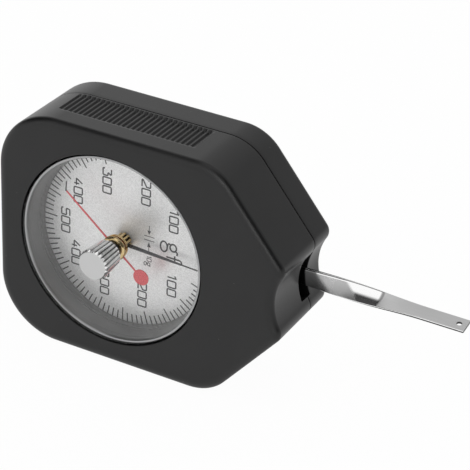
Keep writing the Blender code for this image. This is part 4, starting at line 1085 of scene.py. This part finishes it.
def finish(name):
    """The finish of that name, made on first use."""
    full = "gauge_" + name
    if full in bpy.data.materials:
        return bpy.data.materials[full]
    scene = bpy.context.scene
    colours, centre = scene.gauge_colours, scene.gauge_centre
    case_depth, red_until = scene.gauge_case.depth, 0.0179
    makers = {
        "case_plastic": (plastic_finish, colours.plastic),
        "clear_window": (window_finish,),
        "window_edge": (window_edge_finish, colours.window, case_depth),
        "dial_silver": (dial_finish, colours.silver),
        "dial_ink": (ink_finish, colours.ink),
        "knob_aluminium": (knob_finish, colours.aluminium, centre, -case_depth),
        "brass": (turned_metal_finish, colours.brass, 0.16),
        "plate_brass": (plain_metal_finish, colours.brass, 0.30, (12, 1, 1)),
        "ribbed_brass": (ribbed_brass_finish, colours.brass, 0.0020),
        "pointer_red": (lacquer_finish, colours.red, 0.36, (centre.drag_angle, red_until)),
        "pointer_black": (lacquer_finish, colours.black, 0.34),
        "lever_steel": (lever_finish, colours.steel, colours.polish,
                        scene.gauge_lever.middle_depth - case_depth),
        # Painted highlight: the rounded edges take the much paler polish colour.
        "lever_bright": (plain_metal_finish, colours.polish, 0.16, (40, 1, 1)),
        # Painted shade: the sheared edges are nearly black.
        "lever_sheared": (plain_metal_finish, colours.sheared, 0.42, (6, 1, 1)),
        "arbor_steel": (plain_metal_finish, colours.steel, 0.22),
        "spring_steel": (plain_metal_finish, colours.spring, 0.28, (1, 20, 1)),
        "screw_steel": (plain_metal_finish, colours.screw, 0.30),
    }
    maker, *values = makers[name]
    return maker(full, *values)


# Pieces

def wear(item, look, body, slot, *nodes):
    """Gives a finished piece its material, its body and the solids that it stands for."""
    item.data.materials.clear()
    item.data.materials.append(finish(look))
    return ride(item, body, slot, *nodes)


def ride(item, body, slot, *nodes):
    """Gives a finished piece its body and the solids that it stands for."""
    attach(item, body)
    if nodes:
        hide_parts(*nodes)
    return item


def make_piece(name, shells, look, body, slot, *nodes, sharp=35.0):
    """A piece from closed shells, with its finish, its body and the solids that it stands for."""
    return wear(object_from_shells(name, shells, sharp), look, body, slot, *nodes)


class GaugeOperator:
    """What every step of the gauge has in common."""
    bl_options = {"REGISTER", "UNDO"}

    def execute(self, context):
        self.make(context.scene)
        return {"FINISHED"}


class GAUGE_OT_front_case(GaugeOperator, bpy.types.Operator):
    """Make the front shell with its window, grips and lever slot"""
    bl_idname = "gauge.front_case"
    bl_label = "Front case"

    def make(self, scene):
        case = scene.gauge_case
        bore, boss, near, far, bore_end = 0.0012, 0.0026, 0.0020, 0.0161, 0.0101
        profile = [(bore, far), (bore, bore_end), (0, bore_end), (0, near), (boss, near), (boss, far)]
        shells = [front_case_shell(case)]
        shells += [turned_shell(profile, at, 32, closed=True) for at in boss_places(case)]
        make_piece("front_case", shells, "case_plastic", "case", "case_plastic", "front_shell")


class GAUGE_OT_rear_case(GaugeOperator, bpy.types.Operator):
    """Make the rear cover with its four sunk screw holes"""
    bl_idname = "gauge.rear_case"
    bl_label = "Rear case"

    def make(self, scene):
        case = scene.gauge_case
        bore, sink, sink_depth, wide, past = 0.0012, 0.0021, 0.0230, 0.0025, 0.0262
        hole = [(0, 0.0160), (bore, 0.0160), (bore, sink_depth), (sink, sink_depth), (sink, 0.0251),
                (wide, 0.0255), (wide, past), (0, past)]
        cutters = [object_from_shells("hole", [turned_shell(hole, at, 48)]) for at in boss_places(case)]
        item = object_from_shells("rear_case", [rear_case_shell(case)])
        post = [(0.0026, 0.0167), (0.0026, 0.0236), (0, 0.0236), (0, 0.0167)]
        posts = object_from_shells("posts", [turned_shell(post, at, 48) for at in boss_places(case)])
        cut_away(item, cutters, posts=[posts])
        wear(item, "case_plastic", "case", "case_plastic", "rear_cover")


class GAUGE_OT_case_screws(GaugeOperator, bpy.types.Operator):
    """Make the four case screws with their cross recesses"""
    bl_idname = "gauge.case_screws"
    bl_label = "Case screws"

    def make(self, scene):
        near, far, floor = 0.0233, 0.0247, 0.0238
        shank, head, tip = 0.0009, 0.0018, 0.0104
        profile = [(0, tip), (0.0006, tip), (shank, tip + 0.0004), (shank, near), (head, near),
                   (head, far - 0.0006), (0.00165, far - 0.0003), (0.0013, far - 0.0001), (0.0007, far),
                   (0, far)]
        taper = np.array([0, 0.35, 1, 1, 0])[:, None, None]
        depths = np.array([floor, floor, far - 0.00015, far + 0.0004, far + 0.0004])[:, None]
        for i, at in enumerate(boss_places(scene.gauge_case)):
            item = object_from_shells(f"case_screw_head_{i + 1}", [turned_shell(profile, at, 48)])
            blades = []
            for reach, thin in ((0.00022, 0.0010), (0.0010, 0.00022)):
                flat = np.array([(-reach, -thin), (reach, -thin), (reach, thin), (-reach, thin)]) * taper
                points = row_frame(at[0] + flat[..., 0], depths, at[1] + flat[..., 1])
                blades.append(object_from_shells("blade", [mesh_from_grid(points, False, True)]))
            cut_away(item, blades, 30.0)
            wear(item, "screw_steel", "case", "screw_steel", f"case_screw_{i + 1}")


class GAUGE_OT_window(GaugeOperator, bpy.types.Operator):
    """Make the clear window and its grey cut wall"""
    bl_idname = "gauge.window"
    bl_label = "Window"

    def make(self, scene):
        bore, inner, outer, sheet, foot = 0.00205, 0.0240, 0.0248, 0.0010, 0.0073
        lens = rounded([(bore, 0), (outer, 0), (outer, foot), (inner, foot), (inner, sheet), (bore, sheet)],
                       0.00012, 3, True)
        make_piece("window_lens", [turned_shell(lens, steps=192, closed=True)], "clear_window", "case",
                   "clear_acrylic", "lens")
        recess, wall_outer, wall_rear, wall_foot = 0.0006, 0.02472, 0.00745, 0.02312
        wall = rounded([(inner, sheet), (inner + 0.0002, recess), (wall_outer, recess),
                        (wall_outer, wall_rear), (wall_foot, wall_rear)], 0.00006, 2, True)
        make_piece("window_wall", [turned_shell(wall, steps=192, closed=True)], "window_edge", "case",
                   "clear_acrylic")


class GAUGE_OT_dial(GaugeOperator, bpy.types.Operator):
    """Make the dial plate"""
    bl_idname = "gauge.dial"
    bl_label = "Dial"

    def make(self, scene):
        near = scene.gauge_dial.face_depth
        bore, outer, far = 0.0014, 0.0252, near + 0.0005
        profile = rounded([(bore, near), (outer, near), (outer, far), (bore, far)], 0.00012, 3, True)
        make_piece("dial_face", [turned_shell(profile, steps=128, closed=True)], "dial_silver", "case",
                   "dial_silver", "dial_plate")


class GAUGE_OT_dial_print(GaugeOperator, bpy.types.Operator):
    """Print the ticks, figures and signs on the dial"""
    bl_idname = "gauge.dial_print"
    bl_label = "Dial print"

    def make(self, scene):
        make_piece("dial_print", dial_print_shells(scene.gauge_dial), "dial_ink", "case", "pointer_black")


class GAUGE_OT_knob(GaugeOperator, bpy.types.Operator):
    """Make the ribbed reset knob and its spindle"""
    bl_idname = "gauge.knob"
    bl_label = "Reset knob"

    def make(self, scene):
        make_piece("knob", [knob_shell(scene.gauge_centre)], "knob_aluminium", "reset", "knob_aluminium",
                   "reset_knob", sharp=40.0)
        radius, near, far = 0.0008, -0.0044, 0.00415
        profile = rounded([(0, near), (radius, near), (radius, far), (0, far)], 0.00012, 3)
        make_piece("spindle", [turned_shell(profile, steps=48)], "screw_steel", "reset", "screw_steel",
                   "knob_spindle")


class GAUGE_OT_hubs(GaugeOperator, bpy.types.Operator):
    """Make the brass dome, collar, bush and washer on the knob's spindle"""
    bl_idname = "gauge.hubs"
    bl_label = "Brass hubs"

    def make(self, scene):
        bore, turn = 0.00095, np.linspace(0, math.pi / 2, 14)
        cap = np.stack([0.0014 + 0.00185 * np.sin(turn), 0.0014 + 0.00092 * (1 - np.cos(turn))], axis=1)
        dome = [(bore, 0.0014), *cap, (0.00325, 0.0024), (0.00318, 0.0025), (bore, 0.0025)]
        collar = rounded([(bore, 0.0031), (0.0031, 0.0031), (0.0031, 0.0034), (0.0028, 0.0034),
                          (0.0028, 0.0036), (0.0030, 0.0036), (0.0030, 0.0039), (0.0020, 0.0039),
                          (0.0020, 0.0042), (bore, 0.0042)], 0.00007, 2, True)
        bush = rounded([(bore, 0), (0.0019, 0), (0.0019, 0.00115), (bore, 0.00115)], 0.0001, 3, True)
        washer = rounded([(bore, 0.00115), (0.0023, 0.00115), (0.0023, 0.00135), (bore, 0.00135)],
                         0.00006, 2, True)
        for name, profile, metal, body, node in (
                ("drag_dome", dome, "brass", "reset", "drag_hub"),
                ("collar", collar, "brass", "reset", "drag_collar"),
                ("window_bush", bush, "brass", "case", "lens_bush"),
                ("spring_washer", washer, "spring_steel", "case", "friction_washer")):
            make_piece(name, [turned_shell(profile, closed=True)], metal, body, metal, node)


class GAUGE_OT_drag_needle(GaugeOperator, bpy.types.Operator):
    """Make the red drag pointer with its disc and bent tip"""
    bl_idname = "gauge.drag_needle"
    bl_label = "Drag pointer"

    def make(self, scene):
        angle = scene.gauge_centre.drag_angle
        near, far, thick, bore = 0.00265, 0.00295, 0.00024, 0.00095
        middle, away, tip = (near + far) / 2, 0.00955, 0.0183
        place = (-away * math.cos(angle), -away * math.sin(angle))
        disc = rounded([(0, near), (0.0021, near), (0.0021, far), (0, far)], 0.00008, 3)
        boss = rounded([(bore, near), (0.0024, near), (0.0024, far), (bore, far)], 0.00008, 3, True)
        shells = [turned_shell(disc, place, 64), turned_shell(boss, closed=True, steps=64)]
        for begin, end in ((-away, -0.0012), (0.0012, tip)):
            along = np.linspace(begin, end, 8)
            half = np.interp(along, [-away, 0, tip], [0.00023, 0.00030, 0.00022])
            shells.append(strip_shell(along, half, middle, thick, angle))
        slope, drop, part = math.radians(55.0), 0.00235, np.linspace(0, 1, 6)
        path = tip - 0.0001 + part * drop / math.tan(slope)
        shells.append(strip_shell(path, np.full(6, 0.00024), middle + part * (drop - 0.0001), thick, angle))
        make_piece("drag_needle", shells, "pointer_red", "reset", "pointer_red", "drag_pointer")


class GAUGE_OT_live_needle(GaugeOperator, bpy.types.Operator):
    """Make the black live pointer with its ridge, and its ribbed hub"""
    bl_idname = "gauge.live_needle"
    bl_label = "Live pointer"

    def make(self, scene):
        angle = scene.gauge_centre.live_angle
        middle, thick, ridge = 0.00545, 0.00026, 0.30
        tail = np.array([-0.0030, -0.0028, -0.0018, -0.0007])
        tail_half = np.interp(tail, [-0.0030, -0.0028, 0.0], [0.0007, 0.0009, 0.0006])
        arm = np.array([0.0007, 0.004, 0.008, 0.012, 0.0155, 0.0166, 0.0170, 0.0190, 0.0213, 0.0214])
        arm_half = np.interp(arm, [0, 0.0100, 0.0166, 0.0170, 0.0213, 0.0214],
                             [0.0006, 0.00046, 0.00028, 0.00020, 0.00018, 0.0001])
        shells = [strip_shell(along, half, middle, thick, angle, ridge)
                  for along, half in ((tail, tail_half), (arm, arm_half))]
        make_piece("live_needle", shells, "pointer_black", "pointer", "pointer_black", "live_pointer")
        near, far, top, bore, ease = 0.0047, 0.00735, 0.0020, 0.00075, 0.00014
        rows = [(bore, near, 0), (0.0013, near, 0), (0.0018, near, top), (0.0019, near + 0.00004, top),
                (top, near + ease, top), (top, near + 0.0002, top), (top, far - 0.0002, top),
                (top, far - ease, top), (0.0019, far - 0.00004, top), (0.0018, far, top),
                (0.0013, far, 0), (bore, far, 0), (bore, near, 0)]
        make_piece("ribbed_hub", [ribbed_shell(rows, 10, 0.0006, 1 / 3)], "ribbed_brass", "pointer",
                   "brass", "pointer_hub", sharp=40.0)


class GAUGE_OT_lever(GaugeOperator, bpy.types.Operator):
    """Make the twisted steel lever with its holes"""
    bl_idname = "gauge.lever"
    bl_label = "Lever"

    def make(self, scene):
        lever = scene.gauge_lever
        shell, looks = lever_shell(lever)
        item = object_from_shells("lever_blade", [shell], looks=looks)
        for look in ("lever_steel", "lever_bright", "lever_sheared"):
            item.data.materials.append(finish(look))
        tools, near, far, rivet_z = [], 0.0150, 0.0162, 0.0024
        for z, radius in ((0.0, 0.00115), (rivet_z, 0.00065), (-rivet_z, 0.00065)):
            profile = [(0, near), (radius, near), (radius, far), (0, far)]
            tools.append(object_from_shells("hole", [turned_shell(profile, (lever.axle_x, z), 32)]))
        angle = 2 * np.pi * np.arange(24) / 24
        radius = np.array([0, lever.tip_hole, lever.tip_hole, 0])[:, None]
        height = np.array([-0.0008, -0.0008, 0.0008, 0.0008])[:, None]
        sine, cosine = math.sin(lever.twist_angle), math.cos(lever.twist_angle)
        across = radius * np.sin(angle)
        points = row_frame(lever.tip_hole_x + radius * np.cos(angle),
                           lever.middle_depth + across * sine - height * cosine,
                           across * cosine + height * sine - lever.droop)
        vertices, faces = mesh_from_grid(points, False, True)
        tools.append(object_from_shells("tip_hole", [(vertices, faces)], looks=np.full(len(faces), 2)))
        cut_away(item, tools, 40.0)
        ride(item, "lever", "lever_steel", "lever")


class GAUGE_OT_movement(GaugeOperator, bpy.types.Operator):
    """Give the solids of the movement their metals"""
    bl_idname = "gauge.movement"
    bl_label = "Movement"

    def make(self, scene):
        looks = {"brass": "brass", "spring_steel": "spring_steel", "screw_steel": "screw_steel",
                 "lever_steel": "arbor_steel", "case_plastic": "case_plastic",
                 "knob_aluminium": "knob_aluminium", "dial_silver": "dial_silver"}
        for name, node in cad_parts.items():
            if node.hide_render:
                continue
            old = node.data.materials[0].name if node.data.materials else "brass"
            look = next((new for part, new in looks.items() if part in old), "brass")
            if look == "brass" and any(word in name for word in ("plate", "sector", "hub", "pillar")):
                look = "plate_brass"
            for place in node.material_slots:
                place.link = "OBJECT"
                place.material = finish(look)


# The stage

def make_floor(scene):
    """A wide floor that the camera sees as pale paper, and mirrors as paper in a little shade."""
    stage, low, reach = scene.gauge_stage, -scene.gauge_case.half_height, 3.0
    mesh = bpy.data.meshes.new("floor")
    corners = [(-reach, -reach, low), (reach, -reach, low), (reach, reach, low), (-reach, reach, low)]
    mesh.from_pydata(corners, [], [(0, 1, 2, 3)])
    floor = bpy.data.objects.new("floor", mesh)
    scene.collection.objects.link(floor)
    shop = new_finish("gauge_floor")
    path = shop.node("ShaderNodeLightPath")
    seen = path["Is Camera Ray"] * stage.floor_shade + mirror_share(path) * stage.floor_mirrored
    plain = shop.surface(colour=(0.85, 0.85, 0.85), roughness=1.0, specular=0.0)
    white = shop.node("ShaderNodeEmission", None, {"Color": (1, 1, 1, 1), "Strength": 1.0})[0]
    mixed = shop.node("ShaderNodeMixShader", None, {0: seen.least(1.0), 1: plain, 2: white})[0]
    mesh.materials.append(shop.show(mixed))


def band(value, low, high, soft):
    """One between two values, and nothing outside them."""
    return value.ease(low - soft, low + soft) * (1 - value.ease(high - soft, high + soft))


def make_room(scene):
    """A white room: plain white to the camera, even light on the gauge, and darker parts in mirrors."""
    scene.world = bpy.data.worlds.new("gauge_room")
    shop = Finish(scene.world)
    path = shop.node("ShaderNodeLightPath")
    way = shop.node("ShaderNodeTexCoord")["Generated"]
    split = shop.node("ShaderNodeSeparateXYZ", None, {0: way})
    x, y, z = split[0], split[1], split[2]
    near = shop.node("ShaderNodeVectorMath", {"operation": "DOT_PRODUCT"},
                     {0: way, 1: (0.62, -0.65, 0.44)})["Value"]
    behind_camera = near.ease(0.760, 0.920)
    between_lamps = (0 - x).ease(0.30, 0.39) * band(0 - y, -0.10, 0.76, 0.09) * z.ease(0.00, 0.14)
    low_window = band(x, -0.05, 0.25, 0.06) * band(z, 0.01, 0.15, 0.02) * (0 - y).above(0.0)
    room = 1 - x.ease(0.0, 0.6) * 0.16 + (0 - x).ease(0.38, 0.52) * 0.30 - y.ease(0.0, 0.5) * 0.30
    room = (room + low_window * 6.5) * (1 - behind_camera * 0.92) * (1 - between_lamps * 0.955)
    mirrored, camera = mirror_share(path), path["Is Camera Ray"]
    strength = camera + (1 - camera) * (mirrored * room + (1 - mirrored) * scene.gauge_stage.sky)
    light = shop.node("ShaderNodeBackground", None, {"Color": (1, 1, 1, 1), "Strength": strength})[0]
    shop.show(light, "ShaderNodeOutputWorld")


def make_lamps(scene):
    """Two soft square lights, turned to the dial and left out of mirrors."""
    stage = scene.gauge_stage
    lamps = (("key_light", (-0.05, 0.10, 0.60), 0.70, stage.key_power),
             ("fill_light", (-0.25, -0.75, 0.12), 0.50, stage.fill_power))
    for name, place, size, power in lamps:
        light = bpy.data.lights.new(name, "AREA")
        light.shape, light.size, light.energy = "SQUARE", size, power
        item = bpy.data.objects.new(name, light)
        scene.collection.objects.link(item)
        item.location = place
        item.rotation_mode = "QUATERNION"
        item.rotation_quaternion = (-Vector(place)).to_track_quat("-Z", "Y")
        item.visible_glossy = False


def make_camera(scene):
    """The camera in front, above and to the right, with a long lens and a small shift."""
    data = bpy.data.cameras.new("camera")
    data.lens, data.sensor_width = scene.gauge_stage.lens, 36.0
    data.shift_x, data.shift_y = 0.0011, 0.0009
    data.clip_start, data.clip_end = 0.01, 20.0
    camera = bpy.data.objects.new("camera", data)
    scene.collection.objects.link(camera)
    right, up, back = ((0.877725, 0.477190, 0.043455), (-0.269988, 0.417597, 0.867594),
                       (0.395860, -0.773242, 0.495371))
    turn = Matrix((right, up, back)).transposed().to_4x4()
    camera.matrix_world = Matrix.Translation((0.20634, -0.36298, 0.23135)) @ turn
    scene.camera = camera


class GAUGE_OT_stage(GaugeOperator, bpy.types.Operator):
    """Set up the pale floor, the white room, the soft lights and the camera"""
    bl_idname = "gauge.stage"
    bl_label = "Stage"

    def make(self, scene):
        make_floor(scene)
        make_room(scene)
        make_lamps(scene)
        make_camera(scene)
        scene.view_settings.view_transform = "Standard"


# Panel and start

class GAUGE_PT_steps(bpy.types.Panel):
    """The steps of the gauge, in the order in which they run"""
    bl_idname = "GAUGE_PT_steps"
    bl_label = "Dial tension gauge"
    bl_space_type = "VIEW_3D"
    bl_region_type = "UI"
    bl_category = "Gauge"

    def draw(self, context):
        for step in steps:
            self.layout.operator(step.bl_idname)
        for name in groups:
            box = self.layout.box()
            group = getattr(context.scene, name)
            for key in group.bl_rna.properties.keys():
                if key not in ("rna_type", "name"):
                    box.prop(group, key)


groups = {"gauge_case": GaugeCaseSizes, "gauge_dial": GaugeDialSizes, "gauge_centre": GaugeCentreSizes,
          "gauge_lever": GaugeLeverSizes, "gauge_colours": GaugeColours, "gauge_stage": GaugeStage}
steps = (GAUGE_OT_front_case, GAUGE_OT_rear_case, GAUGE_OT_case_screws, GAUGE_OT_window, GAUGE_OT_dial,
         GAUGE_OT_dial_print, GAUGE_OT_knob, GAUGE_OT_hubs, GAUGE_OT_drag_needle, GAUGE_OT_live_needle,
         GAUGE_OT_lever, GAUGE_OT_movement, GAUGE_OT_stage)


def register():
    """Adds the groups, the steps and the panel."""
    for group in groups.values():
        bpy.utils.register_class(group)
    for name, group in groups.items():
        setattr(bpy.types.Scene, name, PointerProperty(type=group))
    for step in steps:
        bpy.utils.register_class(step)
    bpy.utils.register_class(GAUGE_PT_steps)


def unregister():
    """Removes the panel, the steps and the groups."""
    bpy.utils.unregister_class(GAUGE_PT_steps)
    for step in reversed(steps):
        bpy.utils.unregister_class(step)
    for name in groups:
        delattr(bpy.types.Scene, name)
    for group in reversed(groups.values()):
        bpy.utils.unregister_class(group)


def main():
    """Runs every step in order."""
    register()
    for step in steps:
        family, name = step.bl_idname.split(".")
        getattr(getattr(bpy.ops, family), name)()


if __name__ == "__main__":
    main()
